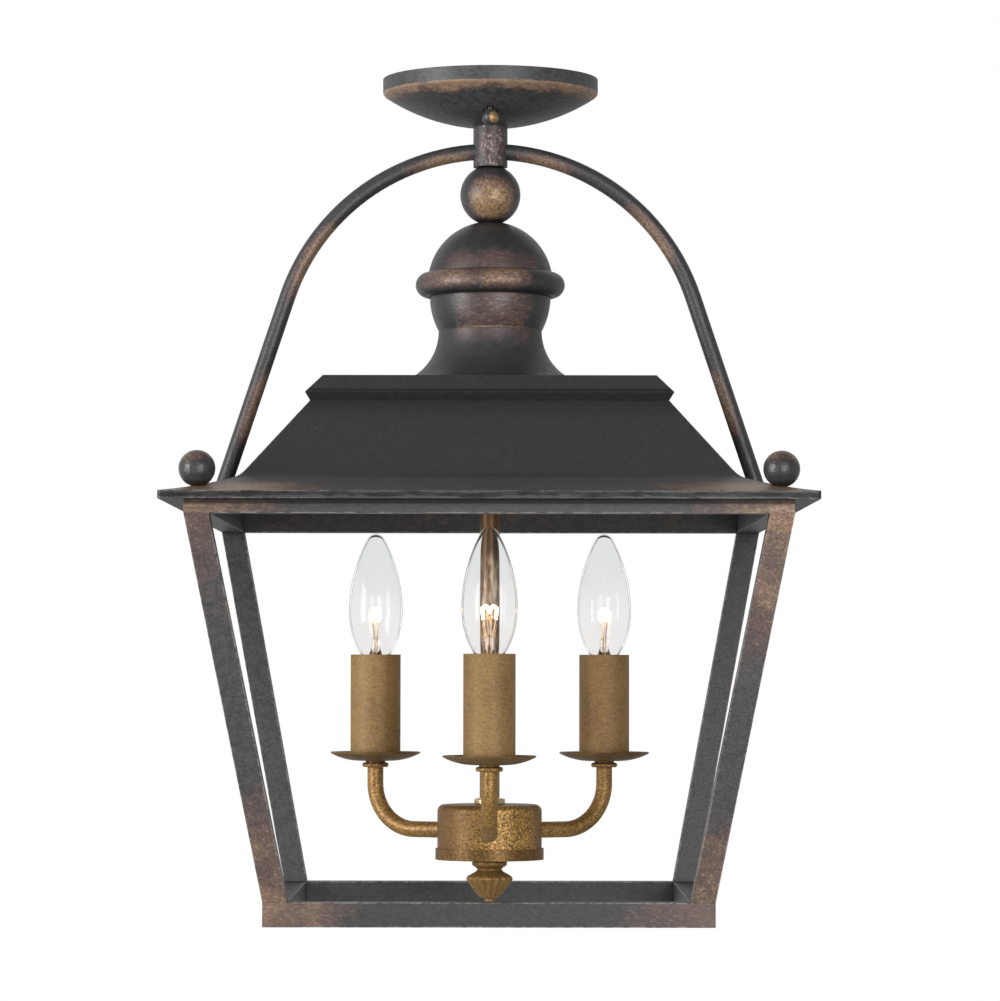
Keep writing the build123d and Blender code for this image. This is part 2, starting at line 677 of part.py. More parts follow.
# Hub cover: shallow tray that the cup stands in
with BuildPart() as hub_cover:
    with BuildSketch(Plane.XY.offset(cover_bottom)):
        Circle(HUB_COVER_D / 2)
    extrude(amount=HUB_COVER_H)
    with BuildSketch(Plane.XY.offset(hub_bottom)):
        Circle(HUB_CUP_D / 2 + FIT)
    extrude(amount=HUB_COVER_H, mode=Mode.SUBTRACT)
    with Locations((0, 0, cover_bottom)):
        Cylinder(pipe_hole_r, 4 * HUB_WALL, mode=Mode.SUBTRACT)
hub_cover.part.label = "hub_cover"
export_step(hub_cover.part, "parts/hub_cover.step")

# Fluted acorn finial: cap nut on the end of the pipe
acorn_rim = (ACORN_RIM_D / 2, acorn_top - ACORN_RIM_H)
acorn_neck = (ACORN_NECK_D / 2, acorn_top - ACORN_NECK_DROP)
acorn_bulge = (ACORN_BULGE_D / 2, acorn_top - ACORN_BULGE_DROP)
acorn_waist = (ACORN_WAIST_D / 2, acorn_top - ACORN_WAIST_DROP)
acorn_end = (ACORN_BUTTON_D / 2, acorn_top - ACORN_L)
flank = Vector(*acorn_waist) - Vector(*acorn_bulge)
flank_out = Vector(-flank.Y, flank.X).normalized()
flute_top = Vector(*acorn_bulge) + flank_out * (FLUTE_D / 2 - FLUTE_DEPTH)
flute_end = Vector(*acorn_waist) + flank_out * (FLUTE_D / 2 - FLUTE_END_DEPTH)
flute_line = flute_end - flute_top
flute_start = flute_top - flute_line / 2
flute_plane = Plane((flute_start.X, 0, flute_start.Y), z_dir=(flute_line.X, 0, flute_line.Y))
with BuildPart() as flute:
    with BuildSketch(flute_plane):
        Circle(FLUTE_D / 2)
    extrude(amount=flute_line.length * 1.7)
with BuildPart() as hub_finial:
    with BuildSketch(Plane.XZ) as acorn_section:
        with BuildLine():
            Polyline(
                (0, acorn_top),
                (acorn_rim[0], acorn_top),
                acorn_rim,
                acorn_neck,
                acorn_bulge,
                acorn_waist,
                (acorn_end[0], acorn_waist[1]),
                acorn_end,
                (0, acorn_end[1]),
                close=True,
            )
        make_face()
        for point, radius in (
            ((acorn_rim[0], acorn_top), ACORN_RIM_H / 3),
            (acorn_rim, ACORN_RIM_H / 3),
            (acorn_neck, ACORN_NECK_ROUND),
            (acorn_bulge, ACORN_BULGE_ROUND),
            (acorn_end, ACORN_BUTTON_D / 4),
        ):
            fillet(acorn_section.vertices().sort_by_distance(point)[0], radius)
    revolve(axis=Axis.Z)
    for n in range(FLUTES):
        add(flute.part.rotate(Axis.Z, 360 / FLUTES * n), mode=Mode.SUBTRACT)
    with Locations((0, 0, acorn_top)):
        Cylinder(pipe_r + THREAD_FIT, 2 * ACORN_BORE_L, mode=Mode.SUBTRACT)
hub_finial.part.label = "hub_finial"
export_step(hub_finial.part, "parts/hub_finial.step")

# Arms: bent tubes from inside the hub out and up into the lampholders
for number, angle in enumerate(arm_angles, 1):
    with BuildPart() as arm:
        with BuildLine(upright(angle)) as route:
            FilletPolyline(
                (HUB_CUP_D / 2 - HUB_WALL - ARM_INSIDE_L, arm_z),
                (CANDLE_CIRCLE_R, arm_z),
                (CANDLE_CIRCLE_R, nipple_top),
                radius=ARM_BEND_R,
            )
        with BuildSketch(Plane(route.line @ 0, z_dir=route.line % 0)):
            Circle(ARM_D / 2)
            Circle(ARM_BORE / 2, mode=Mode.SUBTRACT)
        sweep()
    arm.part.label = f"arm_{number}"
    export_step(arm.part, f"parts/arm_{number}.step")

# Locknuts that hold the arms from inside the hub, bored to the arm and flat towards its wall
nut_face = sqrt((HUB_CUP_D / 2 - HUB_WALL) ** 2 - (ARM_NUT_AF / sqrt(3)) ** 2)
with BuildPart() as arm_locknuts:
    for angle in arm_angles:
        with BuildSketch(facing(angle, nut_face - ARM_NUT_T)):
            with Locations((0, arm_z)):
                RegularPolygon(ARM_NUT_AF / 2, 6, major_radius=False)
                Circle(ARM_D / 2 + FIT, mode=Mode.SUBTRACT)
        extrude(amount=ARM_NUT_T)
arm_locknuts.part.label = "arm_locknuts"
export_step(arm_locknuts.part, "parts/arm_locknuts.step")

# Check rings on the arms, under the bobeches
with BuildPart() as arm_rings:
    for angle in arm_angles:
        with BuildSketch(upright(angle, CANDLE_CIRCLE_R)):
            with BuildLine():
                hole_r = ARM_D / 2 + FIT
                ring_top = ring_bottom + ARM_RING_H
                Polyline(
                    (ARM_RING_D / 2, ring_bottom),
                    (hole_r, ring_bottom),
                    (hole_r, bobeche_bottom),
                    (ARM_RING_NECK_D / 2, bobeche_bottom),
                    (ARM_RING_NECK_D / 2, ring_top),
                    (ARM_RING_D / 2, ring_top),
                )
                ThreePointArc(
                    (ARM_RING_D / 2, ring_top),
                    ((ARM_RING_D + ARM_RING_H / 2) / 2, (ring_top + ring_bottom) / 2),
                    (ARM_RING_D / 2, ring_bottom),
                )
            make_face()
        revolve(axis=upright_axis(angle, CANDLE_CIRCLE_R))
arm_rings.part.label = "arm_rings"
export_step(arm_rings.part, "parts/arm_rings.step")

# Bobeches: shallow round dishes with a middle hole for the arm
for number, angle in enumerate(arm_angles, 1):
    with BuildPart() as bobeche:
        with BuildSketch(upright(angle, CANDLE_CIRCLE_R)):
            with BuildLine():
                flat = Line((ARM_D / 2 + FIT, bobeche_bottom), (BOBECHE_FLAT_R, bobeche_bottom))
                TangentArc(
                    flat @ 1, (BOBECHE_D / 2, bobeche_bottom + BOBECHE_DEPTH), tangent=(1, 0)
                )
                offset(amount=BOBECHE_WALL, side=Side.LEFT)
            make_face()
        revolve(axis=upright_axis(angle, CANDLE_CIRCLE_R))
    bobeche.part.label = f"bobeche_{number}"
    export_step(bobeche.part, f"parts/bobeche_{number}.step")

# Candle sleeves: plain tubes that stand in the bobeches
for number, angle in enumerate(arm_angles, 1):
    with BuildPart() as candle_sleeve:
        with BuildSketch(upright(angle, CANDLE_CIRCLE_R)):
            with Locations((sleeve_r - SLEEVE_WALL / 2, sleeve_bottom + SLEEVE_L / 2)):
                Rectangle(SLEEVE_WALL, SLEEVE_L)
        revolve(axis=upright_axis(angle, CANDLE_CIRCLE_R))
    candle_sleeve.part.label = f"candle_sleeve_{number}"
    export_step(candle_sleeve.part, f"parts/candle_sleeve_{number}.step")

# Lampholders: screwed on the arms' ends, with a socket for the bulb's base
socket_bottom = contact_bottom - TURN_GAP
with BuildPart() as lampholders:
    for angle in arm_angles:
        with BuildSketch(upright(angle, CANDLE_CIRCLE_R)):
            with BuildLine():
                Polyline(
                    (0, socket_bottom),
                    (BASE_D / 2 + TURN_GAP, socket_bottom),
                    (BASE_D / 2 + TURN_GAP, holder_top),
                    (HOLDER_D / 2, holder_top),
                    (HOLDER_D / 2, bobeche_floor),
                    (ARM_D / 2 + FIT, bobeche_floor),
                    (ARM_D / 2 + FIT, nipple_top + FIT),
                    (0, nipple_top + FIT),
                    close=True,
                )
            make_face()
        revolve(axis=upright_axis(angle, CANDLE_CIRCLE_R))
lampholders.part.label = "lampholders"
export_step(lampholders.part, "parts/lampholders.step")

# Bulb glass: pointed torpedo, round at the tip, drawn in to the neck
bulb_r = BULB_D / 2
neck_r = BULB_NECK_D / 2
lower_turn = asin(sqrt(1 - (1 - (bulb_r - neck_r) / BULB_LOWER_R) ** 2))
belly_z = glass_bottom + BULB_LOWER_R * sin(lower_turn)
ogive_x = bulb_r - BULB_OGIVE_R
tip_mid_z = belly_z + sqrt((BULB_OGIVE_R - BULB_TIP_R) ** 2 - ogive_x**2)
tip_turn = atan2(tip_mid_z - belly_z, -ogive_x)
tip_joint = (BULB_TIP_R * cos(tip_turn), tip_mid_z + BULB_TIP_R * sin(tip_turn))
for number, angle in enumerate(arm_angles, 1):
    with BuildPart() as bulb_glass:
        with BuildSketch(upright(angle, CANDLE_CIRCLE_R)):
            with BuildLine():
                ThreePointArc(
                    (neck_r, glass_bottom),
                    (
                        bulb_r - BULB_LOWER_R * (1 - cos(lower_turn / 2)),
                        belly_z - BULB_LOWER_R * sin(lower_turn / 2),
                    ),
                    (bulb_r, belly_z),
                )
                TangentArc((bulb_r, belly_z), tip_joint, tangent=(0, 1))
                TangentArc(
                    tip_joint, (0, tip_mid_z + BULB_TIP_R),
                    tangent=(-sin(tip_turn), cos(tip_turn)),
                )
                Polyline((0, tip_mid_z + BULB_TIP_R), (0, glass_bottom), (neck_r, glass_bottom))
            make_face()
        revolve(axis=upright_axis(angle, CANDLE_CIRCLE_R))
        offset(
            amount=-BULB_GLASS_WALL,
            openings=bulb_glass.faces().filter_by(GeomType.PLANE).sort_by(Axis.Z)[0],
        )
    bulb_glass.part.label = f"bulb_glass_{number}"
    export_step(bulb_glass.part, f"parts/bulb_glass_{number}.step")

# Bulb bases: screw shell with a contact button below
for number, angle in enumerate(arm_angles, 1):
    with BuildPart() as bulb_base:
        with BuildSketch(upright(angle, CANDLE_CIRCLE_R)):
            with BuildLine():
                Polyline(
                    (0, glass_bottom),
                    (BASE_D / 2, glass_bottom),
                    (BASE_D / 2, base_bottom),
                    (BASE_CONTACT_D / 2, contact_bottom),
                    (0, contact_bottom),
                    close=True,
                )
            make_face()
        revolve(axis=upright_axis(angle, CANDLE_CIRCLE_R))
    bulb_base.part.label = f"bulb_base_{number}"
    export_step(bulb_base.part, f"parts/bulb_base_{number}.step")

# Bulb mounts: glass stem, two lead wires and the filament between them
stem_tip_z = glass_bottom + MOUNT_STEM_L
lead_root = MOUNT_STEM_D / 4
lead_tip_z = stem_tip_z + LEAD_L
for number, angle in enumerate(arm_angles, 1):
    with BuildPart() as bulb_mount:
        with BuildSketch(upright(angle, CANDLE_CIRCLE_R)):
            with BuildLine():
                Polyline(
                    (0, glass_bottom),
                    (MOUNT_FOOT_D / 2, glass_bottom),
                    (MOUNT_STEM_D / 2, (glass_bottom + stem_tip_z) / 2),
                    (MOUNT_STEM_D / 2, stem_tip_z),
                    (0, stem_tip_z),
                    close=True,
                )
            make_face()
        revolve(axis=upright_axis(angle, CANDLE_CIRCLE_R))
        with BuildLine(upright(angle, CANDLE_CIRCLE_R)) as wire:
            FilletPolyline(
                (-lead_root, stem_tip_z - LEAD_D),
                (-LEAD_SPREAD, lead_tip_z),
                (-LEAD_SPREAD / 3, lead_tip_z + FILAMENT_RISE),
                (LEAD_SPREAD / 3, lead_tip_z + FILAMENT_RISE),
                (LEAD_SPREAD, lead_tip_z),
                (lead_root, stem_tip_z - LEAD_D),
                radius=LEAD_D,
            )
        with BuildSketch(Plane(wire.line @ 0, z_dir=wire.line % 0)):
            Circle(LEAD_D / 2)
        sweep()
    bulb_mount.part.label = f"bulb_mount_{number}"
    export_step(bulb_mount.part, f"parts/bulb_mount_{number}.step")
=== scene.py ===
from math import cos, pi, radians, sin

import bmesh
import bpy
from mathutils import Euler, Matrix, Vector


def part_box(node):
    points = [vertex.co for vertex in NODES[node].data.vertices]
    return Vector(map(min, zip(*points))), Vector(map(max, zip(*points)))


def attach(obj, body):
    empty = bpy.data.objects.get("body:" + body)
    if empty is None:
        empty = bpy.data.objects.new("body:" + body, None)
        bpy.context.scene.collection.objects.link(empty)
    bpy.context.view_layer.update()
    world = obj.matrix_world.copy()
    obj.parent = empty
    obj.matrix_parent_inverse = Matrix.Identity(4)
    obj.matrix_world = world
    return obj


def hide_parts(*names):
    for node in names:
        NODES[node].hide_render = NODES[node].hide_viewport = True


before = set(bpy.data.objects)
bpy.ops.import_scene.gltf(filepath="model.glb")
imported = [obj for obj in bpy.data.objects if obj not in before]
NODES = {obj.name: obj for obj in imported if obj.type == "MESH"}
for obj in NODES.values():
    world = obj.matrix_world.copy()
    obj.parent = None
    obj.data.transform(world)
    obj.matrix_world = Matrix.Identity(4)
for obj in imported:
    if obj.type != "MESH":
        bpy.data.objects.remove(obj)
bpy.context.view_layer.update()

MM = 0.001
SIDES = ("front", "rear", "left", "right")
CORNERS = ("front_left", "front_right", "rear_left", "rear_right")
LIGHT_ANGLES = {1: -90.0, 2: 30.0, 3: 150.0}
CANDLE_CIRCLE_R = 78.8 * MM


class Shading:
    """A material's node tree, with short calls for the nodes that these materials use."""

    def __init__(self, name):
        self.material = bpy.data.materials.new(name)
        self.material.use_nodes = True
        self.tree = self.material.node_tree
        self.tree.nodes.clear()
        output = self.node("ShaderNodeOutputMaterial")
        self.shader = self.node("ShaderNodeBsdfPrincipled")
        self.tree.links.new(self.shader.outputs["BSDF"], output.inputs["Surface"])
        self.place = self.node("ShaderNodeTexCoord").outputs["Object"]
        split = self.node("ShaderNodeSeparateXYZ")
        self.tree.links.new(self.place, split.inputs[0])
        self.x, self.y, self.z = split.outputs

    def node(self, kind):
        return self.tree.nodes.new(kind)

    def put(self, value, socket):
        """Feed a socket from another socket, or set its own value."""
        if isinstance(value, bpy.types.NodeSocket):
            self.tree.links.new(value, socket)
        else:
            socket.default_value = value

    def math(self, operation, first, second=0.0):
        node = self.node("ShaderNodeMath")
        node.operation = operation
        self.put(first, node.inputs[0])
        self.put(second, node.inputs[1])
        return node.outputs[0]

    def add(self, *values):
        total = values[0]
        for value in values[1:]:
            total = self.math("ADD", total, value)
        return total

    def times(self, *values):
        total = values[0]
        for value in values[1:]:
            total = self.math("MULTIPLY", total, value)
        return total

    def less(self, value):
        """One minus the value."""
        return self.add(1.0, self.times(value, -1.0))

    def largest(self, first, second):
        return self.math("MAXIMUM", first, second)

    def smallest(self, first, second):
        return self.math("MINIMUM", first, second)

    def size(self, value):
        return self.math("ABSOLUTE", value)

    def aside(self):
        """Distance from the nearer middle plane: the way along a side towards its corner."""
        return self.smallest(self.size(self.x), self.size(self.y))

    def outreach(self):
        """Distance from the farther middle plane: the way out to a side."""
        return self.largest(self.size(self.x), self.size(self.y))

    def vector(self, operation, first, second=None):
        node = self.node("ShaderNodeVectorMath")
        node.operation = operation
        self.put(first, node.inputs[0])
        if second is not None:
            self.put(second, node.inputs[1])
        return node

    def rise(self, value, low, high, bottom=0.0, top=1.0):
        """Smooth step from bottom to top while value goes from low to high."""
        node = self.node("ShaderNodeMapRange")
        node.interpolation_type = "SMOOTHSTEP"
        node.clamp = True
        self.put(value, node.inputs["Value"])
        reverse = high < low
        node.inputs["From Min"].default_value = high if reverse else low
        node.inputs["From Max"].default_value = low if reverse else high
        node.inputs["To Min"].default_value = top if reverse else bottom
        node.inputs["To Max"].default_value = bottom if reverse else top
        return node.outputs["Result"]

    def noise(self, grain, detail=3.0, roughness=0.55, stretch=(1, 1, 1), distortion=0.0):
        """Noise whose blobs are about this many metres wide, stretched along an axis where asked."""
        mapping = self.node("ShaderNodeMapping")
        self.tree.links.new(self.place, mapping.inputs["Vector"])
        mapping.inputs["Scale"].default_value = [1 / s for s in stretch]
        node = self.node("ShaderNodeTexNoise")
        self.tree.links.new(mapping.outputs["Vector"], node.inputs["Vector"])
        node.inputs["Scale"].default_value = 1 / grain
        node.inputs["Detail"].default_value = detail
        node.inputs["Roughness"].default_value = roughness
        node.inputs["Distortion"].default_value = distortion
        return node.outputs["Fac"]

    def swing(self, grain, detail=3.0, roughness=0.55, stretch=(1, 1, 1)):
        """The same noise, swinging about nought."""
        return self.add(self.noise(grain, detail, roughness, stretch), -0.5)

    def mix(self, share, first, second):
        """The first colour, with this share of the second."""
        node = self.node("ShaderNodeMix")
        node.data_type = "RGBA"
        self.put(share, node.inputs["Factor"])
        self.put(first, node.inputs[6])
        self.put(second, node.inputs[7])
        return node.outputs[2]

    def bump(self, height, depth, strength, normal=None):
        node = self.node("ShaderNodeBump")
        node.inputs["Strength"].default_value = strength
        node.inputs["Distance"].default_value = depth
        self.put(height, node.inputs["Height"])
        if normal is not None:
            self.put(normal, node.inputs["Normal"])
        return node.outputs["Normal"]

    def edges(self, radius):
        """High along the sharp edges of the shape, nothing on its faces."""
        round_normal = self.node("ShaderNodeBevel")
        round_normal.samples = 6
        round_normal.inputs["Radius"].default_value = radius
        flat = self.node("ShaderNodeNewGeometry")
        dot = self.vector("DOT_PRODUCT", round_normal.outputs[0], flat.outputs["Normal"])
        return self.rise(dot.outputs["Value"], 0.995, 0.9)

    def around(self, centre, radius, soft):
        """High inside a soft-edged ball about a point."""
        distance = self.vector("DISTANCE", self.place, centre)
        return self.rise(distance.outputs["Value"], radius + soft, radius)

    def towards(self, centre, direction, near, far):
        """High where a point lies in this direction from a centre, given as cosines of the angles."""
        offset = self.vector("SUBTRACT", self.place, centre)
        unit = self.vector("NORMALIZE", offset.outputs[0])
        dot = self.vector("DOT_PRODUCT", unit.outputs[0], Vector(direction).normalized())
        return self.rise(dot.outputs["Value"], far, near)

    def facing(self, centre):
        """Cosine between the face's own direction and the way to a point."""
        way = self.vector("SUBTRACT", centre, self.place)
        unit = self.vector("NORMALIZE", way.outputs[0])
        normal = self.node("ShaderNodeNewGeometry").outputs["Normal"]
        return self.vector("DOT_PRODUCT", unit.outputs[0], normal).outputs["Value"]

    def outward(self):
        """High on faces that look away from the stem, nothing on faces that look into the cage."""
        normal = self.node("ShaderNodeNewGeometry").outputs["Normal"]
        split = self.node("ShaderNodeSeparateXYZ")
        self.tree.links.new(normal, split.inputs[0])
        across = self.times(split.outputs[0], self.math("SIGN", self.x))
        along = self.times(split.outputs[1], self.math("SIGN", self.y))
        return self.rise(self.largest(across, along), 0.1, 0.5)

    def openness(self, reach):
        """High on open faces, falling to nothing in corners and grooves."""
        node = self.node("ShaderNodeAmbientOcclusion")
        node.samples = 8
        node.inputs["Distance"].default_value = reach
        return node.outputs["AO"]

    def rounded(self, radius):
        """Normal that rolls softly over sharp edges."""
        node = self.node("ShaderNodeBevel")
        node.samples = 4
        node.inputs["Radius"].default_value = radius
        return node.outputs[0]

    def finish(self, colour, roughness, metallic=0.0, normal=None, **uniform):
        """Feed the shader, with even values set by their names on its own sockets."""
        self.put(colour, self.shader.inputs["Base Color"])
        self.put(roughness, self.shader.inputs["Roughness"])
        self.put(metallic, self.shader.inputs["Metallic"])
        if normal is not None:
            self.put(normal, self.shader.inputs["Normal"])
        for name, value in uniform.items():
            self.shader.inputs[name.replace("_", " ")].default_value = value
        return self.material


CHARCOAL = (0.043, 0.043, 0.044, 1)
# Near black, used for real pits and for painted shade.
PITS_AND_PAINTED_SHADE = (0.010, 0.010, 0.010, 1)
PLUM_BROWN = (0.092, 0.057, 0.052, 1)
TAN = (0.180, 0.117, 0.078, 1)
PALE_FLECK = (0.34, 0.255, 0.215, 1)
LILAC_FLECK = (0.46, 0.39, 0.38, 1)
PALE_EDGE_AND_HIGHLIGHT = (0.34, 0.305, 0.28, 1)
# Light grey for upward faces: dust, and painted sheen.
DUST_AND_SHEEN = (0.135, 0.130, 0.125, 1)
RUBBED_GOLD = (0.38, 0.215, 0.085, 1)
PALE_GOLD = (0.56, 0.37, 0.175, 1)
RUBBED_COPPER = (0.36, 0.185, 0.10, 1)
PALE_COPPER = (0.54, 0.355, 0.24, 1)
GOLD = (RUBBED_GOLD, PALE_GOLD)
COPPER = (RUBBED_COPPER, PALE_COPPER)
GOLD_DARK = (0.070, 0.036, 0.013, 1)
GOLD_DEEP = (0.205, 0.112, 0.036, 1)
GOLD_MID = (0.310, 0.185, 0.064, 1)
GOLD_LIGHT = (0.60, 0.39, 0.145, 1)

BLOTCH_WIDTH = 18 * MM
PATCH_WIDTH = 4.5 * MM
PEBBLE_WIDTH = 1.5 * MM
GRIT_WIDTH = 0.8 * MM
EDGE_WIDTH = 1.2 * MM
EDGE_ROUNDING = 0.5 * MM
GROOVE_REACH = 7 * MM
RELIEF_DEPTH = 0.13 * MM
THREAD_PITCH = 0.95 * MM
BANDS_PER_PITCH = 0.32


def shade(colour, tone, warm=1.0):
    """The colour made lighter or darker, and warmer below 1."""
    red, green, blue = colour[:3]
    return (red * tone, green * tone * warm ** 0.28, blue * tone * warm, 1)


def worn_bronze(name, wear, tan=0.5, gold=0.0, leaf=GOLD, tone=1.0, tan_tone=1.0, fleck=0.3,
                fleck_colour=PALE_FLECK, grain=1.0, stretch=(1, 1, 1), mottle=0.12, edge_wear_and_highlight=0.0,
                edge_area=None, painted_shade=None, dull=0.0, dust_and_sheen=0.0, painted_groove_shade=0.8, rough=0.46, patchy=1.0):
    """Charcoal coat washed with brown where worn, tan and gold where rubbed more, finely pitted there."""
    s = Shading(name)
    amount = wear(s)
    blotch = s.swing(BLOTCH_WIDTH)
    patch = s.swing(PATCH_WIDTH, 3.0, 0.6)
    pebble = s.swing(PEBBLE_WIDTH, 2.0, 0.5, stretch)
    grit = s.swing(GRIT_WIDTH, 1.0, 0.5, stretch)
    uneven = s.add(s.times(blotch, 1.15 * patchy), s.times(patch, 0.35))
    fine = s.add(pebble, s.times(grit, 0.8))
    coat_share = s.rise(s.add(patch, fine), -0.3, 0.3)
    darker = shade(CHARCOAL, tone * (1 - mottle))
    lighter = shade(CHARCOAL, tone * (1 + mottle))
    coat = s.mix(coat_share, darker, lighter)
    # Upward faces lightened with grey: dust, and a painted sheen for the bright surround reflected on the
    # roof's flare.
    if dust_and_sheen:
        coat = s.mix(s.rise(s.facing((0, 0, 1)), 0.80, 0.96, 0.0, dust_and_sheen), coat, DUST_AND_SHEEN)
    brown = s.rise(s.add(amount, s.times(uneven, 0.6), s.times(fine, 0.2)), 0.10, 0.62)
    tan_share = s.rise(s.add(s.times(amount, tan), s.times(uneven, 0.8), s.times(fine, 0.35)), 0.25, 0.95)
    colour = s.mix(brown, coat, PLUM_BROWN)
    colour = s.mix(tan_share, colour, shade(TAN, tan_tone))
    shine = 0.0
    if gold:
        gilt = s.rise(s.add(s.times(amount, gold), s.times(uneven, 0.5), s.times(fine, 0.4)), 0.30, 0.80)
        gilt = s.times(gilt, s.rise(amount, 0.05, 0.35))
        colour = s.mix(s.times(gilt, 0.85), colour, s.mix(s.rise(fine, -0.1, 0.25), *leaf))
        shine = s.times(gilt, 0.45)
    pits = s.times(s.rise(fine, 0.0, -0.32), brown, fleck)
    flecks = s.times(s.rise(fine, 0.04, 0.34), brown, fleck)
    colour = s.mix(pits, colour, PITS_AND_PAINTED_SHADE)
    colour = s.mix(flecks, colour, shade(fleck_colour, tan_tone))
    # Pale lines along the sharp edges: edge wear, and painted highlights where rounded edges catch the light.
    if edge_wear_and_highlight:
        gaps = s.add(s.times(blotch, 0.6), s.times(patch, 0.8), s.times(fine, 0.5))
        line = s.times(s.edges(EDGE_WIDTH), s.rise(gaps, -0.16, 0.14), edge_wear_and_highlight)
        if edge_area is not None:
            line = s.times(line, edge_area(s))
        colour = s.mix(line, colour, PALE_EDGE_AND_HIGHLIGHT)
    # Painted shade and shadow from the given mask: darker colour there, and less gloss when dull is set.
    if painted_shade is not None:
        dark = painted_shade(s)
        colour = s.mix(dark, colour, PITS_AND_PAINTED_SHADE)
        if dull:
            s.put(s.add(0.5, s.times(dark, -0.5 * dull)), s.shader.inputs["Specular IOR Level"])
    # Painted shade: darker in grooves, corners and joints, where less light reaches.
    colour = s.mix(s.rise(s.openness(GROOVE_REACH), 0.75, 0.25, 0.0, painted_groove_shade), colour, PITS_AND_PAINTED_SHADE)
    relief = s.add(s.times(grit, 0.35), pebble)
    normal = s.bump(relief, RELIEF_DEPTH, 0.55 * grain, s.rounded(EDGE_ROUNDING))
    return s.finish(colour, s.add(s.times(patch, 0.3), rough), shine, normal)


def canopy_wear(s):
    """Worn band on the dish below the canopy's rim."""
    below_rim = s.rise(s.z, -7.4 * MM, -8.4 * MM)
    wavy = s.times(s.swing(24 * MM, 2.0), 5 * MM)
    fading = s.rise(s.add(s.z, wavy), -16.0 * MM, -9.0 * MM)
    outer = s.rise(s.facing((0, 0, -1)), 0.0, 0.15)
    return s.times(below_rim, fading, outer, s.rise(s.swing(19 * MM, 2.0), -0.22, 0.12, 0.72, 1.12))


def collar_wear(s):
    """Upright streaks, most of all at the front."""
    streak = s.swing(2.2 * MM, 3.0, 0.6, stretch=(1, 1, 8))
    front = s.towards((0, 0, -40 * MM), (0.15, -1, 0), 0.95, 0.35)
    return s.times(s.add(0.55, s.times(streak, 1.6)), s.add(0.35, s.times(front, 0.75)))


def ball_wear(s):
    """Rubbed at the front, with two lesser spots behind."""
    low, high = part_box("ball_spacer")
    centre = (0, 0, (low.z + high.z) / 2)
    spots = s.towards(centre, (0.05, -1, -0.28), 0.99, 0.40)
    for direction in ((0.9, 0.45, -0.2), (-0.75, 0.8, 0.1)):
        spots = s.largest(spots, s.towards(centre, direction, 0.99, 0.55))
    return s.times(spots, 1.35)


def dome_wear(s):
    """Brown wash on the lower part of the dome."""
    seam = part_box("dome_cap")[0].z
    low = s.rise(s.z, seam + 24 * MM, seam + 12 * MM)
    spots = s.towards((0, 0, seam), (0.03, -1, 0), 0.80, 0.35)
    for direction in ((0.9, 0.3, 0), (-0.6, 0.8, 0)):
        spots = s.largest(spots, s.towards((0, 0, seam), direction, 0.95, 0.6))
    return s.times(low, spots, 0.5)


def bead_wear(s):
    """Rubbed right of the front, less on three other spots."""
    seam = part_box("dome_cap")[0].z
    spots = s.towards((0, 0, seam), (0.16, -1, 0), 0.995, 0.86)
    for direction in ((-0.55, -0.82, 0), (0.8, 0.6, 0), (-0.5, 0.9, 0)):
        spots = s.largest(spots, s.times(s.towards((0, 0, seam), direction, 0.99, 0.76), 0.72))
    return s.times(spots, s.rise(s.z, seam - 6.5 * MM, seam - 2 * MM, 0.2, 1.0), 1.15)


def bead_painted_shade(s):
    """Painted shade on the underside of the bead and in the groove above it."""
    low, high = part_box("bead_ring")
    return s.largest(s.rise(s.z, low.z + 2.2 * MM, low.z + 0.8 * MM, 0.0, 0.7),
                     s.rise(s.z, high.z - 1.2 * MM, high.z - 0.3 * MM, 0.0, 0.5))


def bowl_wear(s):
    """Level scratches at the front and the rear, and a rubbed lip at the foot."""
    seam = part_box("dome_cap")[0].z
    scratch = s.swing(1.7 * MM, 3.0, 0.6, stretch=(6, 6, 1))
    front = s.towards((0, 0, seam - 16 * MM), (0.06, -1, 0), 0.95, 0.62)
    rear = s.towards((0, 0, seam - 16 * MM), (0.5, 0.9, 0), 0.95, 0.5)
    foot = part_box("dome_bowl")[0].z
    lip = s.rise(s.z, foot + 1.8 * MM, foot + 0.4 * MM, 0.0, 0.9)
    return s.times(s.largest(front, rear), s.add(0.62, s.times(scratch, 1.2), lip))


def neck_wear(s):
    """Faint wash below the bowl."""
    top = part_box("neck_flare")[1].z
    high = s.rise(s.z, top - 17 * MM, top - 1 * MM)
    front = s.towards((0, 0, top - 10 * MM), (0.0, -1, 0), 0.9, 0.3)
    return s.times(high, s.add(0.15, s.times(front, 0.85)), 0.32)


def roof_wear_and_sheen(s):
    """Worn on the skirt's upper side, most of all at the corners, where the tan also serves as painted sheen.
    """
    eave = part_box("roof")[1].x
    corner = s.rise(s.aside(), 60 * MM, 150 * MM, 0.10, 1.0)
    out = s.outreach()
    inward = s.rise(out, eave - 45 * MM, eave - 14 * MM)
    off_hem = s.rise(out, eave - 0.2 * MM, eave - 1.0 * MM)
    upper = s.rise(s.facing((0, 0, 1)), 0.0, 0.2)
    return s.times(corner, inward, off_hem, upper, 1.05)


def roof_edges(s):
    """Full towards the corners, faint along the middle of each side."""
    return s.rise(s.aside(), 60 * MM, 140 * MM, 0.35, 1.0)


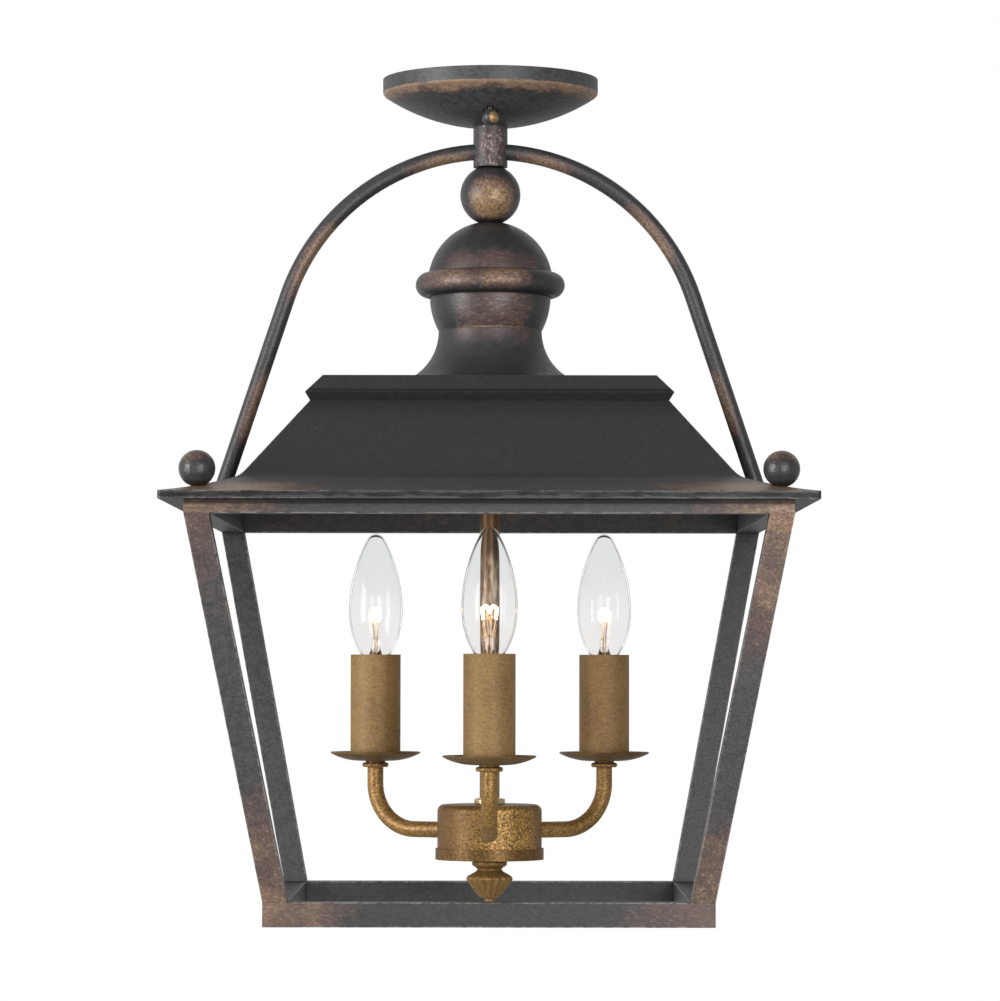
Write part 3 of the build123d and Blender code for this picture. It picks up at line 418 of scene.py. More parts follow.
def roof_painted_shade(s):
    """Painted shade below the cap's lip, in a band along the middle of the hem and on the soffit."""
    low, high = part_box("roof")
    below_cap = s.rise(s.z, high.z - 27 * MM, high.z - 12 * MM, 0.0, 0.30)
    out = s.outreach()
    on_hem = s.rise(out, high.x - 1.0 * MM, high.x - 0.2 * MM)
    level = s.add(s.z, s.times(s.swing(6 * MM, 3.0, 0.65, stretch=(4, 4, 1)), 7 * MM))
    above = s.rise(level, low.z + 0.9 * MM, low.z + 1.4 * MM)
    below = s.rise(level, low.z + 3.6 * MM, low.z + 3.1 * MM)
    broken = s.rise(s.swing(6 * MM, 3.0, 0.6, stretch=(3, 3, 1)), -0.15, 0.15, 0.82, 0.42)
    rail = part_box("top_rail_right")[1].x
    outside = s.rise(out, rail - 6 * MM, rail - 1 * MM, 0.25, 0.8)
    soffit = s.times(s.rise(s.facing((0, 0, -1.5)), 0.3, 0.7), outside)
    return s.largest(s.largest(below_cap, soffit), s.times(on_hem, above, below, broken))


def no_wear(s):
    """Well below what shows any brown."""
    return -0.3


def cap_painted_shade(s):
    """Painted shade on the face that turns back under the cap's lip."""
    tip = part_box("roof_cap")[0].z + 7.2 * MM
    return s.rise(s.z, tip - 0.2 * MM, tip - 0.9 * MM, 0.0, 0.85)


def rail_wear(near, far, lean, inner_painted_warm_light=0.0):
    """Worn towards the corners on the outer faces, with a little brown on the inner ones where asked as
    painted warm light from the bulbs.
    """
    def wear(s):
        along = s.aside()
        wander = s.times(s.swing(40 * MM, 2.0), 55 * MM)
        ends = s.rise(along, far, far + 30 * MM, 0.0, 0.35)
        outside = s.outward()
        worn = s.add(s.times(s.rise(s.add(along, wander), near, far), 0.7), ends)
        worn = s.times(worn, s.rise(s.x, -0.1, 0.1, 1.0 - lean, 1.0 + lean))
        # The brown on the inner faces is painted warm light from the bulbs.
        return s.add(s.times(worn, outside), s.times(s.less(outside), inner_painted_warm_light))
    return wear


def between_corners(rail):
    """One along a rail between its posts, nothing over the posts themselves."""
    def area(s):
        low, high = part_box(rail)
        post = high.x - (high.y - low.y) * 1.1
        return s.rise(s.aside(), post, post - 2 * MM)
    return area


def between_rails(s):
    """One along a post, nothing where it meets the rails."""
    low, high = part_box("corner_post_front_left")
    below = s.rise(s.z, high.z - 1 * MM, high.z - 3 * MM)
    above = s.rise(s.z, low.z + 1 * MM, low.z + 3 * MM)
    return s.times(below, above)


def rail_painted_shadow(s):
    """Painted shadow of the eave as a dark line on the top rails' outer faces, and painted shade on their
    inner faces.
    """
    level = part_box("roof")[0].z
    outside = s.outward()
    shadow = s.times(s.rise(s.z, level - 2.9 * MM, level - 2.0 * MM, 0.0, 0.62), outside)
    return s.add(shadow, s.times(s.less(outside), 0.3))


def post_wear(s):
    """Worn towards both ends of a post, most at the top on the right."""
    wander = s.times(s.swing(38 * MM, 2.0), 60 * MM)
    level = s.add(s.z, wander, s.times(s.x, 0.07))
    top = s.times(s.rise(level, -0.348, -0.300), s.rise(s.x, -0.1, 0.1, 0.68, 1.5))
    foot = s.rise(level, -0.410, -0.450)
    ends = s.largest(s.rise(s.z, -0.284, -0.264), s.rise(s.z, -0.445, -0.478))
    return s.times(s.add(s.times(s.largest(top, foot), 0.58), s.times(ends, 0.33)), s.outward())


def finial_wear(s):
    """Brown crown on each corner ball, and a few blotches."""
    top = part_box("corner_finials")[1].z
    crown = s.rise(s.z, top - 8 * MM, top - 3 * MM, 0.0, 0.6)
    return s.add(crown, s.times(s.swing(14 * MM, 2.0), 1.4), -0.05)


def knob_wear(s):
    """One bright spot on each canopy knob."""
    low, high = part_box("canopy_knob_front")
    middle = (low + high) / 2
    spots = [s.towards((middle.x, -side * middle.y, middle.z), (0.50, side * 0.8, 0.02), 0.90, 0.68)
             for side in (1, -1)]
    return s.times(s.largest(*spots), 1.6)


def hoop_wear(s):
    """Six worn patches along the hoop, strongest on its inner side."""
    inner = s.rise(s.facing((0, 0, -168 * MM)), -0.75, 0.35, 0.15, 1.0)
    worn = s.around((-108 * MM, 0, -105 * MM), 10 * MM, 28 * MM)
    for x, z, reach in ((98, -89, 9), (-141, -193, 8), (140, -189, 5), (-30, -47, 5), (34, -47, 2)):
        worn = s.largest(worn, s.around((x * MM, 0, z * MM), reach * MM, 26 * MM))
    return s.times(worn, inner, 1.05)


def hub_painted_highlight(s):
    """Painted highlight right of the front arm and painted shade on the left, with two lesser bright spots
    behind.
    """
    centre = (0, 0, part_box("hub_cup")[0].z)
    spots = s.towards(centre, (0.38, -1, 0.3), 0.99, 0.60)
    for direction in ((0.9, 0.6, 0.3), (-0.7, 0.8, 0.3)):
        spots = s.largest(spots, s.towards(centre, direction, 0.99, 0.7))
    return s.add(0.12, s.times(spots, 0.88))


def antique_gold(name, tone, dark_specks, light_specks, metal, roughness, grain, warm, cloudy=1.0, crisp=1.0,
                 painted_highlight=None):
    """Gold paint with brown rubbed into it and fine light and dark specks."""
    s = Shading(name)
    cloud = s.swing(26 * MM, 3.0, 0.5)
    patch = s.swing(3.4 * MM, 3.0, 0.6)
    speck = s.add(s.swing(1.15 * MM, 2.0, 0.55), s.times(s.swing(0.65 * MM, 1.0, 0.5), 0.7))
    ripple = s.swing(1.1 * MM, 2.0, 0.5, stretch=(4, 4, 1))
    deep, mid, light, dark = [shade(colour, tone, warm) for colour in
                              (GOLD_DEEP, GOLD_MID, GOLD_LIGHT, GOLD_DARK)]
    uneven = s.add(s.times(cloud, cloudy), s.times(patch, 0.35), s.times(ripple, 0.5))
    mid_share = s.rise(uneven, -0.25, 0.15)
    reach = 0.27 / crisp
    light_share = s.rise(speck, 0.0, reach, 0.0, light_specks)
    # Painted shade: darker in grooves and hollows.
    painted_shade_share = s.rise(s.openness(6 * MM), 0.75, 0.25, 0.0, 0.75)
    # Painted highlight where asked: brighter paint and light specks there, with painted shade away from it.
    if painted_highlight is not None:
        bright = painted_highlight(s)
        mid_share = s.times(mid_share, s.add(0.3, s.times(bright, 0.7)))
        light_share = s.times(light_share, bright)
        painted_shade_share = s.largest(s.rise(bright, 1.0, 0.0, 0.0, 0.4), painted_shade_share)
    colour = s.mix(mid_share, deep, mid)
    colour = s.mix(light_share, colour, light)
    colour = s.mix(s.rise(speck, 0.0, -reach, 0.0, dark_specks), colour, dark)
    colour = s.mix(painted_shade_share, colour, dark)
    rough = s.add(roughness, s.times(patch, 0.25))
    normal = s.bump(s.add(speck, s.times(ripple, 0.4)), RELIEF_DEPTH, 0.6 * grain, s.rounded(0.4 * MM))
    return s.finish(colour, rough, metal, normal)


def stem_bronze():
    """Brown tube, gold towards the hub, with painted highlights beside the bulbs where the filaments light
    it.
    """
    s = Shading("stem_bronze")
    tube = s.noise(9 * MM, 4.0, 0.6, stretch=(1, 1, 4))
    speck = s.noise(1.2 * MM, 2.0)
    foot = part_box("stem_tube")[0].z
    near_hub = s.rise(s.z, foot + 90 * MM, foot)
    dark = s.mix(s.rise(tube, 0.35, 0.65), (0.085, 0.045, 0.022, 1), (0.19, 0.10, 0.042, 1))
    gold = s.mix(s.rise(speck, 0.4, 0.62), (0.24, 0.135, 0.052, 1), (0.46, 0.28, 0.11, 1))
    colour = s.mix(near_hub, dark, gold)
    # Painted highlight: pale patches where the filaments light the tube beside the bulbs.
    bulb_lit_band = s.times(s.rise(s.z, -0.345, -0.325), s.rise(s.z, -0.276, -0.288))
    rubbed = s.rise(s.swing(5 * MM, 3.0, 0.6, stretch=(0.7, 0.7, 2.2)), -0.02, 0.10, 0.15, 0.9)
    colour = s.mix(s.times(bulb_lit_band, rubbed), colour, (0.60, 0.44, 0.30, 1))
    return s.finish(colour, 0.42, 0.5, s.bump(speck, 0.1 * MM, 0.5))


def zinc_steel():
    s = Shading("zinc_steel")
    cloud = s.noise(6 * MM, 4.0, 0.65, distortion=0.6)
    scratch = s.noise(0.6 * MM, 2.0, 0.5, stretch=(1, 12, 12))
    colour = s.mix(s.rise(cloud, 0.3, 0.7), (0.42, 0.42, 0.43, 1), (0.66, 0.66, 0.64, 1))
    rough = s.add(0.30, s.times(s.add(cloud, -0.5), 0.25), s.times(s.add(scratch, -0.5), 0.2))
    return s.finish(colour, rough, 1.0, s.bump(scratch, 0.05 * MM, 0.4))


def threads(name, low_colour, high_colour):
    """Rolled thread round an upright axis, plain or blackened."""
    s = Shading(name)
    cloud = s.noise(5 * MM, 3.0, 0.6)
    wave = s.node("ShaderNodeTexWave")
    wave.wave_type = "BANDS"
    wave.bands_direction = "Z"
    s.tree.links.new(s.place, wave.inputs["Vector"])
    wave.inputs["Scale"].default_value = BANDS_PER_PITCH / (2 * pi * THREAD_PITCH)
    colour = s.mix(s.rise(cloud, 0.3, 0.7), low_colour, high_colour)
    rough = s.add(0.36, s.times(s.add(cloud, -0.5), 0.2))
    return s.finish(colour, rough, 0.9, s.bump(wave.outputs["Fac"], 0.3 * MM, 0.8))


def pale_brass(name, low_colour, high_colour):
    s = Shading(name)
    cloud = s.noise(3 * MM, 3.0, 0.6)
    lathe_marks = s.noise(0.5 * MM, 2.0, 0.5, stretch=(10, 10, 1))
    colour = s.mix(s.rise(cloud, 0.3, 0.7), low_colour, high_colour)
    rough = s.add(0.28, s.times(s.add(lathe_marks, -0.5), 0.3))
    return s.finish(colour, rough, 0.9, s.bump(lathe_marks, 0.05 * MM, 0.4))


def dark_plastic():
    s = Shading("lampholder_plastic")
    grain = s.noise(0.8 * MM, 3.0, 0.6)
    colour = s.mix(s.rise(grain, 0.35, 0.65), (0.018, 0.016, 0.015, 1), (0.032, 0.029, 0.027, 1))
    rough = s.add(0.45, s.times(s.add(grain, -0.5), 0.2))
    return s.finish(colour, rough, 0.0, s.bump(grain, 0.08 * MM, 0.5))


def clear_glass(name, clear, top, rim, rim_start, index, gloss):
    """Thin clear glass whose colour goes to the rim colour where the wall is seen edge on, and to the top
    colour higher up: painted shade for the glass's dark edges and darker top.
    """
    s = Shading(name)
    facing = s.node("ShaderNodeLayerWeight")
    facing.inputs["Blend"].default_value = 0.5
    streak = s.noise(12 * MM, 2.0, 0.5, stretch=(1, 1, 5))
    edge = s.rise(facing.outputs["Facing"], rim_start, 0.91)
    low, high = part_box("bulb_glass_1")
    body = s.mix(s.rise(s.z, low.z + 10 * MM, high.z - 15 * MM), clear, top)
    glass_colour_with_painted_shade = s.mix(edge, body, rim)
    rough = s.rise(streak, 0.35, 0.65, 0.0, 0.02)
    return s.finish(glass_colour_with_painted_shade, rough, 0.0, None, Transmission_Weight=1.0, IOR=index, Coat_Weight=gloss,
                    Coat_Roughness=0.02, Coat_IOR=1.5)


def glowing(name, colour, strength):
    s = Shading(name)
    heat = s.noise(1.2 * MM, 2.0)
    warm = s.mix(s.rise(heat, 0.35, 0.65), colour, (1.0, 0.78, 0.46, 1))
    s.put(warm, s.shader.inputs["Emission Color"])
    return s.finish(warm, 0.6, 0.0, None, Emission_Strength=strength)


def lamp_wire():
    s = Shading("lead_wire")
    cloud = s.noise(0.8 * MM, 2.0)
    colour = s.mix(s.rise(cloud, 0.35, 0.65), (0.42, 0.30, 0.20, 1), (0.66, 0.52, 0.38, 1))
    # The faint orange emission is a painted glow: the filament's light on the wires.
    s.put((1.0, 0.62, 0.32, 1), s.shader.inputs["Emission Color"])
    rough = s.add(0.32, s.times(s.add(cloud, -0.5), 0.2))
    return s.finish(colour, rough, 0.6, None, Emission_Strength=0.12)


def paint(material, *names):
    for name in names:
        node = NODES[name]
        node.data.materials.clear()
        node.data.materials.append(material)


def numbered(name):
    """The three nodes of this name, one for each candle."""
    return [f"{name}_{number}" for number in LIGHT_ANGLES]


# tone sets each gold part's brightness: lighter on the hub, darker on the cover and the dishes, as painted
# light and shade.
gold_arms = antique_gold("antique_gold", tone=1.03, dark_specks=0.65, light_specks=0.65, metal=0.35,
                         roughness=0.44, grain=1.2, warm=0.74, crisp=1.3)
gold_hub = antique_gold("antique_gold_hub", tone=1.2, dark_specks=0.8, light_specks=0.95, metal=0.42,
                        roughness=0.45, grain=1.8, warm=0.74, cloudy=0.6, crisp=1.7, painted_highlight=hub_painted_highlight)
gold_cover = antique_gold("antique_gold_cover", tone=0.58, dark_specks=0.6, light_specks=0.7, metal=0.5,
                          roughness=0.42, grain=1.4, warm=0.62)
gold_finial = antique_gold("antique_gold_finial", tone=0.98, dark_specks=0.35, light_specks=0.4, metal=0.35,
                           roughness=0.42, grain=0.8, warm=0.85, cloudy=0.4)
gold_sleeve = antique_gold("antique_gold_sleeve", tone=0.97, dark_specks=0.32, light_specks=0.26, metal=0.08,
                           roughness=0.58, grain=1.2, warm=0.94, cloudy=0.5)
gold_dish = antique_gold("antique_gold_dish", tone=0.70, dark_specks=0.4, light_specks=0.4, metal=0.35,
                         roughness=0.45, grain=0.8, warm=0.9)
steel = zinc_steel()
zinc_threads = threads("zinc_threads", (0.40, 0.40, 0.41, 1), (0.62, 0.62, 0.60, 1))
black_threads = threads("black_threads", (0.020, 0.020, 0.021, 1), (0.045, 0.044, 0.043, 1))
brass_nut = pale_brass("pale_brass", (0.62, 0.47, 0.24, 1), (0.82, 0.68, 0.42, 1))
brass_base = pale_brass("bulb_base_brass", (0.50, 0.36, 0.16, 1), (0.72, 0.56, 0.28, 1))
holder = dark_plastic()
bulb_glass = clear_glass("bulb_glass", clear=(0.93, 0.925, 0.92, 1), top=(0.88, 0.885, 0.885, 1),
                         rim=(0.06, 0.06, 0.065, 1), rim_start=0.70, index=1.03, gloss=0.26)
stem_glass = clear_glass("stem_glass", clear=(0.98, 0.95, 0.91, 1), top=(0.98, 0.95, 0.91, 1),
                         rim=(0.46, 0.36, 0.29, 1), rim_start=0.45, index=1.2, gloss=1.0)
filament = glowing("filament", (1.0, 0.60, 0.24, 1), 40.0)
lead_wire = lamp_wire()

# tone sets each part's brightness: the one charcoal paint is made lighter on the canopy, collar, top rails
# and posts and darker on the dome, bead, bowl, neck, roof, cap and bottom rails, as painted light and shade.
paint(worn_bronze("bronze_canopy", canopy_wear, tan=0.95, gold=0.32, leaf=COPPER, tone=1.28, tan_tone=1.55,
                  fleck=0.3, grain=2.4, stretch=(2.5, 2.5, 1), mottle=0.3, patchy=0.5),
      "canopy")
paint(worn_bronze("bronze_knob", knob_wear, tan=0.8, gold=0.75, rough=0.34),
      "canopy_knob_front", "canopy_knob_rear")
paint(worn_bronze("bronze_collar", collar_wear, tan=0.6, tone=1.1, fleck=0.9, fleck_colour=LILAC_FLECK,
                  grain=3.0, stretch=(1, 1, 1.8)),
      "stem_collar")
paint(worn_bronze("bronze_ball", ball_wear, tan=0.85, gold=0.42, fleck=0.58, grain=2.2, rough=0.42),
      "ball_spacer")
paint(worn_bronze("bronze_dome", dome_wear, tan=0.35, tone=0.74, fleck=0.15, stretch=(4, 4, 1), rough=0.42),
      "dome_cap")
paint(worn_bronze("bronze_bead", bead_wear, tan=0.6, gold=0.40, leaf=COPPER, tone=0.78, fleck=0.35, grain=1.6,
                  stretch=(1.6, 1.6, 1), painted_shade=bead_painted_shade, rough=0.42),
      "bead_ring")
paint(worn_bronze("bronze_bowl", bowl_wear, tan=0.5, gold=0.32, leaf=COPPER, tone=0.80, fleck=0.4, grain=2.0,
                  stretch=(3, 3, 1), edge_wear_and_highlight=0.5, rough=0.40),
      "dome_bowl")
paint(worn_bronze("bronze_neck", neck_wear, tan=0.3, tone=0.78, fleck=0.12, rough=0.47),
      "neck_flare")
paint(worn_bronze("bronze_roof", roof_wear_and_sheen, tan=0.9, tone=0.79, tan_tone=1.5, fleck=0.4, mottle=0.06,
                  edge_wear_and_highlight=0.8, edge_area=roof_edges, painted_shade=roof_painted_shade, dull=0.8, dust_and_sheen=0.45, painted_groove_shade=0.15),
      "roof")
paint(worn_bronze("bronze_cap", no_wear, tone=0.78, edge_wear_and_highlight=0.2, painted_shade=cap_painted_shade),
      "roof_cap")
paint(worn_bronze("bronze_hoop", hoop_wear, tan=0.85, gold=0.42, leaf=COPPER, fleck=0.5, grain=3.2,
                  rough=0.40),
      "hoop_left", "hoop_right")
paint(worn_bronze("bronze_finial", finial_wear, tan=0.6, fleck=0.5, grain=4.0, rough=0.29),
      "corner_finials")
paint(worn_bronze("bronze_top_rail", rail_wear(80 * MM, 135 * MM, 0.0, 0.18), tan=0.8, gold=0.42, leaf=COPPER,
                  tone=1.2, tan_tone=1.1, fleck=0.35, grain=1.6, stretch=(3, 3, 1), mottle=0.25, dull=0.8,
                  edge_wear_and_highlight=1.0, edge_area=between_corners("top_rail_front"), painted_shade=rail_painted_shadow),
      *[f"top_rail_{side}" for side in SIDES])
paint(worn_bronze("bronze_bottom_rail", rail_wear(62 * MM, 100 * MM, -0.2), tan=0.62, gold=0.32, leaf=COPPER,
                  tone=0.82, fleck=0.3, grain=1.6, stretch=(2, 2, 1), mottle=0.25, edge_wear_and_highlight=1.0,
                  edge_area=between_corners("bottom_rail_front")),
      *[f"bottom_rail_{side}" for side in SIDES])
paint(worn_bronze("bronze_post", post_wear, tan=0.72, gold=0.44, leaf=COPPER, tone=1.2, fleck=0.32, grain=2.8,
                  mottle=0.30, edge_wear_and_highlight=1.0, edge_area=between_rails),
      *[f"corner_post_{corner}" for corner in CORNERS])
paint(stem_bronze(), "stem_tube")
paint(brass_nut, "hub_nut")
paint(gold_hub, "hub_cup")
paint(gold_cover, "hub_cover")
paint(gold_finial, "hub_finial")
paint(gold_arms, *numbered("arm"), "arm_rings")
paint(gold_dish, *numbered("bobeche"))
paint(gold_sleeve, *numbered("candle_sleeve"))
paint(steel, "crossbar", "stud_nuts", "canopy_lock_nut", "roof_washer", "roof_nut", "arm_locknuts")
paint(zinc_threads, "center_pipe")
paint(black_threads, "canopy_studs")
paint(holder, "lampholders")
paint(bulb_glass, *numbered("bulb_glass"))
paint(stem_glass, *numbered("bulb_mount"))
paint(brass_base, *numbered("bulb_base"))


def new_object(name, mesh_or_curve, material, body):
    piece = bpy.data.objects.new(name, mesh_or_curve)
    bpy.context.scene.collection.objects.link(piece)
    piece.data.materials.append(material)
    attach(piece, body)
    return piece


def skin(name, rings, flat_ends):
    """Mesh through rings of points that all have one length, closed at both ends."""
    mesh = bpy.data.meshes.new(name)
    shape = bmesh.new()
    corners = [[shape.verts.new(point) for point in ring] for ring in rings]
    count = len(corners[0])
    for low, high in zip(corners, corners[1:]):
        for n in range(count):
            m = (n + 1) % count
            shape.faces.new((low[n], low[m], high[m], high[n]))
    for face in shape.faces:
        face.smooth = True
    ends = [shape.faces.new(list(reversed(corners[0]))), shape.faces.new(corners[-1])]
    for face in ends:
        face.smooth = not flat_ends
    shape.to_mesh(mesh)
    shape.free()
    return mesh


def turned(name, profile, centre, material, body, segments, lobes=0):
    """Body of revolution about an upright axis, from (radius, height, depth of flutes) points."""
    rings = []
    for radius, height, *flute in profile:
        ring = []
        for n in range(segments):
            turn = 2 * pi * n / segments
            reach = radius - (flute[0] * (1 - abs(cos(lobes * turn / 2))) if flute else 0)
            ring.append((centre[0] + reach * cos(turn), centre[1] + reach * sin(turn), height))
        rings.append(ring)
    return new_object(name, skin(name, rings, flat_ends=False), material, body)


def fluted_finial():
    """Acorn finial under the hub, with rounded lobes below its shoulder and the bore that takes the pipe."""
    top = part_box("hub_finial")[1].z
    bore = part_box("center_pipe")[1].x + 0.2 * MM
    tip = [(0.6, 25.1, 0), (2.3, 25.0, 0), (2.9, 24.3, 0), (2.9, 22.6, 0), (3.4, 22.2, 0)]
    lobes = [(5.4, 22.0, 0.25), (6.1, 21.4, 0.45), (8.4, 18.6, 0.8), (10.5, 16.0, 1.1), (12.3, 13.6, 1.4),
             (13.3, 12.0, 1.5), (13.6, 11.0, 1.3), (13.3, 10.1, 0.9), (12.2, 9.1, 0.4), (10.4, 8.1, 0.1)]
    waist = [(8.6, 7.1, 0), (7.5, 6.2, 0), (7.3, 5.4, 0), (7.7, 4.7, 0)]
    seat = [(9.0, 3.9, 0), (10.0, 3.2, 0), (10.3, 2.3, 0), (10.2, 1.1, 0), (9.6, 0.3, 0), (8.6, 0.0, 0)]
    corners = tip + lobes + waist + seat
    befores = corners[:1] + corners
    afters = corners[2:] + corners[-1:]
    steps = 4
    profile = []
    # A smooth curve goes through the corners, with a few steps from each one to the next.
    for before, first, second, after in zip(befores, corners, corners[1:], afters):
        for step in range(steps):
            f = step / steps
            blend = (-f * (1 - f) ** 2 / 2, (2 - 5 * f * f + 3 * f ** 3) / 2,
                     (f + 4 * f * f - 3 * f ** 3) / 2, -f * f * (1 - f) / 2)
            radius, drop, flute = [sum(w * p[k] for w, p in zip(blend, (before, first, second, after)))
                                   for k in range(3)]
            profile.append((radius * MM, top - drop * MM, max(0.0, flute) * MM))
    profile += [(8.6 * MM, top), (bore, top), (bore, top - 9 * MM)]
    finial = turned("hub_finial_fluted", profile, (0, 0), gold_finial, "finial", segments=192, lobes=16)
    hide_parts("hub_finial")


def wire(name, points, radius, material, body, smooth=True):
    """Round wire along points."""
    curve = bpy.data.curves.new(name, "CURVE")
    curve.dimensions = "3D"
    curve.bevel_depth = radius
    curve.bevel_resolution = 3
    curve.use_fill_caps = True
    spline = curve.splines.new("NURBS" if smooth else "POLY")
    spline.points.add(len(points) - 1)
    for point, place in zip(spline.points, points):
        point.co = (*place, 1)
    if smooth:
        spline.order_u = 3
        spline.use_endpoint_u = True
    return new_object(name, curve, material, body)


def bulb_insides(number):
    """Flared glass stem, lead wires, supports and coiled filament of one bulb."""
    body = f"bulb_{number}"
    turn = radians(LIGHT_ANGLES[number])
    centre = Vector((CANDLE_CIRCLE_R * cos(turn), CANDLE_CIRCLE_R * sin(turn), 0))
    side = Vector((-sin(turn), cos(turn), 0))
    deep = Vector((cos(turn), sin(turn), 0))
    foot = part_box(f"bulb_mount_{number}")[0].z

    def at(across, away, height):
        place = centre + side * across * MM + deep * away * MM
        return (place.x, place.y, foot + height * MM)

    flare = [(4.0, 0.0), (4.0, 2.5), (3.8, 4.6), (3.1, 6.4), (2.5, 8.2), (2.4, 10.4), (2.7, 12.2),
             (2.3, 13.5), (1.2, 14.2)]
    profile = [(radius * MM, foot + height * MM) for radius, height in flare]
    stem = turned(f"bulb_{number}_stem", profile, centre, stem_glass, body, segments=40)
    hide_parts(f"bulb_mount_{number}")
    for hand in (-1, 1):
        name = f"bulb_{number}_lead_{'left' if hand < 0 else 'right'}"
        lead = [at(hand * 0.9, 0, 4.0), at(hand * 1.0, 0, 11.0), at(hand * 1.4, 0, 14.0),
                at(hand * 2.9, 0, 19.0), at(hand * 3.5, 0, 22.6), at(hand * 3.6, 0.2, 23.8),
                at(hand * 3.4, 0.1, 24.2)]
        wire(name, lead, 0.38 * MM, lead_wire, body)
    for name, across in (("left", -1.4), ("right", 1.4)):
        support = [at(across / 3, 0, 11.0), at(across / 2, 0.7, 17.0), at(across, 0.8, 27.0),
                   at(across, 0.0, 31.4)]
        wire(f"bulb_{number}_support_{name}", support, 0.18 * MM, lead_wire, body)
    bends = [Vector(point) for point in ((-3.5, 23.4), (-4.3, 29.4), (-1.7, 31.2), (0, 27.2),
                                         (1.7, 31.2), (4.3, 29.4), (3.5, 23.4))]
    coil = []
    coil_radius = 0.7
    turn_length = 1.0
    steps = 9
    travelled = 0.0
    for first, second in zip(bends, bends[1:]):
        run = second - first
        count = round(run.length / turn_length * steps)
        normal_way = Vector((-run.y, run.x)) / run.length
        for n in range(count):
            point = first + run * n / count
            phase = 2 * pi * (travelled + run.length * n / count) / turn_length
            point += normal_way * coil_radius * cos(phase)
            coil.append(at(point.x, coil_radius * sin(phase), point.y))
        travelled += run.length
    wire(f"bulb_{number}_filament", coil, 0.26 * MM, filament, body, smooth=False)


def bulb_screw(number):
    """Threaded metal shell, dark insulator and solder button of one bulb's base."""
    body = f"bulb_{number}"
    low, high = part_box(f"bulb_base_{number}")
    centre = (low + high) / 2
    top = high.z
    bottom = top - 16.0 * MM
    segments = 48
    levels = 96
    pitch = 2.54 * MM
    mean_radius = 5.55 * MM
    thread_depth = 0.28 * MM
    run_out = 2 * MM
    rings = []
    for level in range(levels + 1):
        z = bottom + (top - bottom) * level / levels
        fade = min(1.0, (z - bottom) / run_out, (top - z) / run_out)
        ring = []
        for n in range(segments):
            turn = 2 * pi * n / segments
            radius = mean_radius + thread_depth * fade * sin(2 * pi * z / pitch - turn)
            ring.append((centre.x + radius * cos(turn), centre.y + radius * sin(turn), z))
        rings.append(ring)
    mesh = skin(f"bulb_{number}_screw", rings, flat_ends=True)
    shell = new_object(f"bulb_{number}_screw", mesh, brass_base, body)
    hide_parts(f"bulb_base_{number}")
    end = low.z
    insulator = [(2.3 * MM, end + 0.5 * MM), (2.6 * MM, end + 0.55 * MM), (5.3 * MM, bottom + 0.05 * MM),
                 (5.3 * MM, bottom + 0.4 * MM)]
    turned(f"bulb_{number}_insulator", insulator, centre, holder, body, 40)
    button = [(0.9 * MM, end + 0.02 * MM), (1.9 * MM, end + 0.2 * MM), (2.2 * MM, end + 0.6 * MM),
              (2.2 * MM, end + 1.0 * MM)]
    turned(f"bulb_{number}_button", button, centre, steel, body, 32)


fluted_finial()
for number in LIGHT_ANGLES:
    bulb_insides(number)
    bulb_screw(number)


def stage_floor():
    """Pale floor of the room, well below the lamp, that runs out into white."""
    mesh = bpy.data.meshes.new("floor")
    half = 6.0
    level = -2.4
    mesh.from_pydata([(-half, -half, level), (half, -half, level), (half, half, level), (-half, half, level)],
                     [], [(0, 1, 2, 3)])
    floor = bpy.data.objects.new("floor", mesh)
    bpy.context.scene.collection.objects.link(floor)
    s = Shading("pale_floor")
    cloud = s.noise(0.4, 3.0)
    colour = s.mix(s.rise(cloud, 0.3, 0.7), (0.86, 0.86, 0.85, 1), (0.90, 0.90, 0.89, 1))
    away = s.math("POWER", s.add(s.times(s.x, s.x), s.times(s.y, s.y)), 0.5)
    fade_start = 2.5
    fade_end = 5.5
    glow = s.mix(s.rise(away, fade_start, fade_end), colour, (1.6, 1.6, 1.6, 1))
    s.put(glow, s.shader.inputs["Emission Color"])
    floor.data.materials.append(s.finish(colour, 0.7, Emission_Strength=0.5))
    floor.visible_diffuse = False
    floor.visible_glossy = False


def soft_light(name, azimuth, elevation, distance, width, height, watts):
    """Large soft box that faces the lamp from this direction, azimuth counted from the camera."""
    target = Vector((0, 0, -0.27))
    around = radians(azimuth)
    up = radians(elevation)
    direction = Vector((sin(around) * cos(up), -cos(around) * cos(up), sin(up)))
    data = bpy.data.lights.new(name, "AREA")
    data.shape = "RECTANGLE"
    data.size = width
    data.size_y = height
    data.energy = watts
    light = bpy.data.objects.new(name, data)
    bpy.context.scene.collection.objects.link(light)
    light.location = target + direction * distance
    light.rotation_euler = direction.to_track_quat("Z", "Y").to_euler()
    light.visible_camera = False


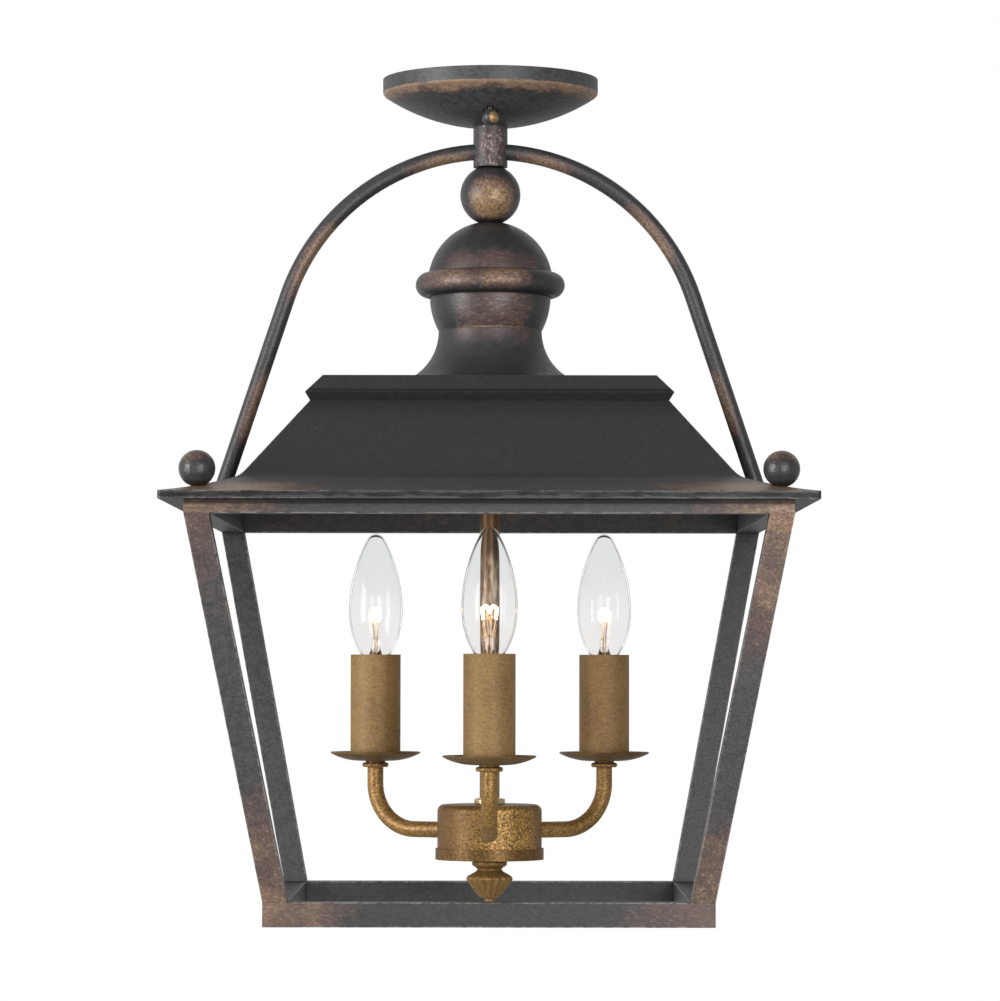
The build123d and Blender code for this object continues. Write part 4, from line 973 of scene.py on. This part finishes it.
def studio():
    """White surround for the camera, softer and darker from above for the lamp's own light."""
    world = bpy.data.worlds.new("studio")
    bpy.context.scene.world = world
    world.use_nodes = True
    tree = world.node_tree
    tree.nodes.clear()

    def across(socket, low, high, bottom, top):
        node = tree.nodes.new("ShaderNodeMapRange")
        tree.links.new(socket, node.inputs["Value"])
        for name, value in zip(("From Min", "From Max", "To Min", "To Max"), (low, high, bottom, top)):
            node.inputs[name].default_value = value
        return node.outputs["Result"]

    def combine(operation, first, second):
        node = tree.nodes.new("ShaderNodeMath")
        node.operation = operation
        tree.links.new(first, node.inputs[0])
        tree.links.new(second, node.inputs[1])
        return node.outputs[0]

    seen = tree.nodes.new("ShaderNodeBackground")
    seen.inputs["Color"].default_value = (1, 1, 1, 1)
    surround = tree.nodes.new("ShaderNodeBackground")
    place = tree.nodes.new("ShaderNodeTexCoord")
    split = tree.nodes.new("ShaderNodeSeparateXYZ")
    tree.links.new(place.outputs["Generated"], split.inputs[0])
    right, back, up = split.outputs
    ramp = tree.nodes.new("ShaderNodeValToRGB")
    tree.links.new(across(up, -1.0, 1.0, 0.0, 1.0), ramp.inputs["Fac"])
    stops = ramp.color_ramp.elements
    stops[0].color = (0.48, 0.48, 0.48, 1)
    stops[1].color = (0.22, 0.22, 0.23, 1)
    for position, grey in ((0.33, 0.48), (0.37, 0.82), (0.5, 0.85), (0.68, 0.42)):
        stops.new(position).color = (grey, grey, grey, 1)
    tree.links.new(ramp.outputs["Color"], surround.inputs["Color"])
    dim_right = across(right, -0.6, 0.9, 0.92, 0.52)
    high_up = across(up, 0.15, 0.5, 0.0, 1.0)
    behind = across(back, 0.0, 0.8, 0.0, 1.6)
    strength = combine("ADD", dim_right, combine("MULTIPLY", high_up, behind))
    tree.links.new(strength, surround.inputs["Strength"])
    rays = tree.nodes.new("ShaderNodeLightPath")
    through = combine("MAXIMUM", rays.outputs["Is Camera Ray"], rays.outputs["Is Transmission Ray"])
    choice = tree.nodes.new("ShaderNodeMixShader")
    tree.links.new(through, choice.inputs[0])
    tree.links.new(surround.outputs[0], choice.inputs[1])
    tree.links.new(seen.outputs[0], choice.inputs[2])
    output = tree.nodes.new("ShaderNodeOutputWorld")
    tree.links.new(choice.outputs[0], output.inputs["Surface"])


def photo_camera():
    """Camera of the photograph: low, level with the candles and tilted up a little."""
    data = bpy.data.cameras.new("camera")
    data.sensor_fit = "HORIZONTAL"
    data.sensor_width = 36.0
    focal_pixels = 4215.5
    picture_pixels = 1000
    data.lens = data.sensor_width * focal_pixels / picture_pixels
    camera = bpy.data.objects.new("camera", data)
    bpy.context.scene.collection.objects.link(camera)
    pitch = 0.0411
    roll = 0.0012
    place = (0.0059, -2.4808, -0.3507)
    turn = Euler((pi / 2 + pitch, 0, 0)).to_matrix() @ Matrix.Rotation(roll, 3, "Z")
    camera.matrix_world = Matrix.Translation(place) @ turn.to_4x4()
    bpy.context.scene.camera = camera


stage_floor()
studio()
soft_light("key_right", azimuth=20, elevation=4, distance=2.2, width=0.9, height=1.3, watts=24)
soft_light("side_left", azimuth=-58, elevation=6, distance=2.0, width=0.8, height=1.4, watts=29)
photo_camera()
bpy.context.scene.view_settings.view_transform = "Standard"
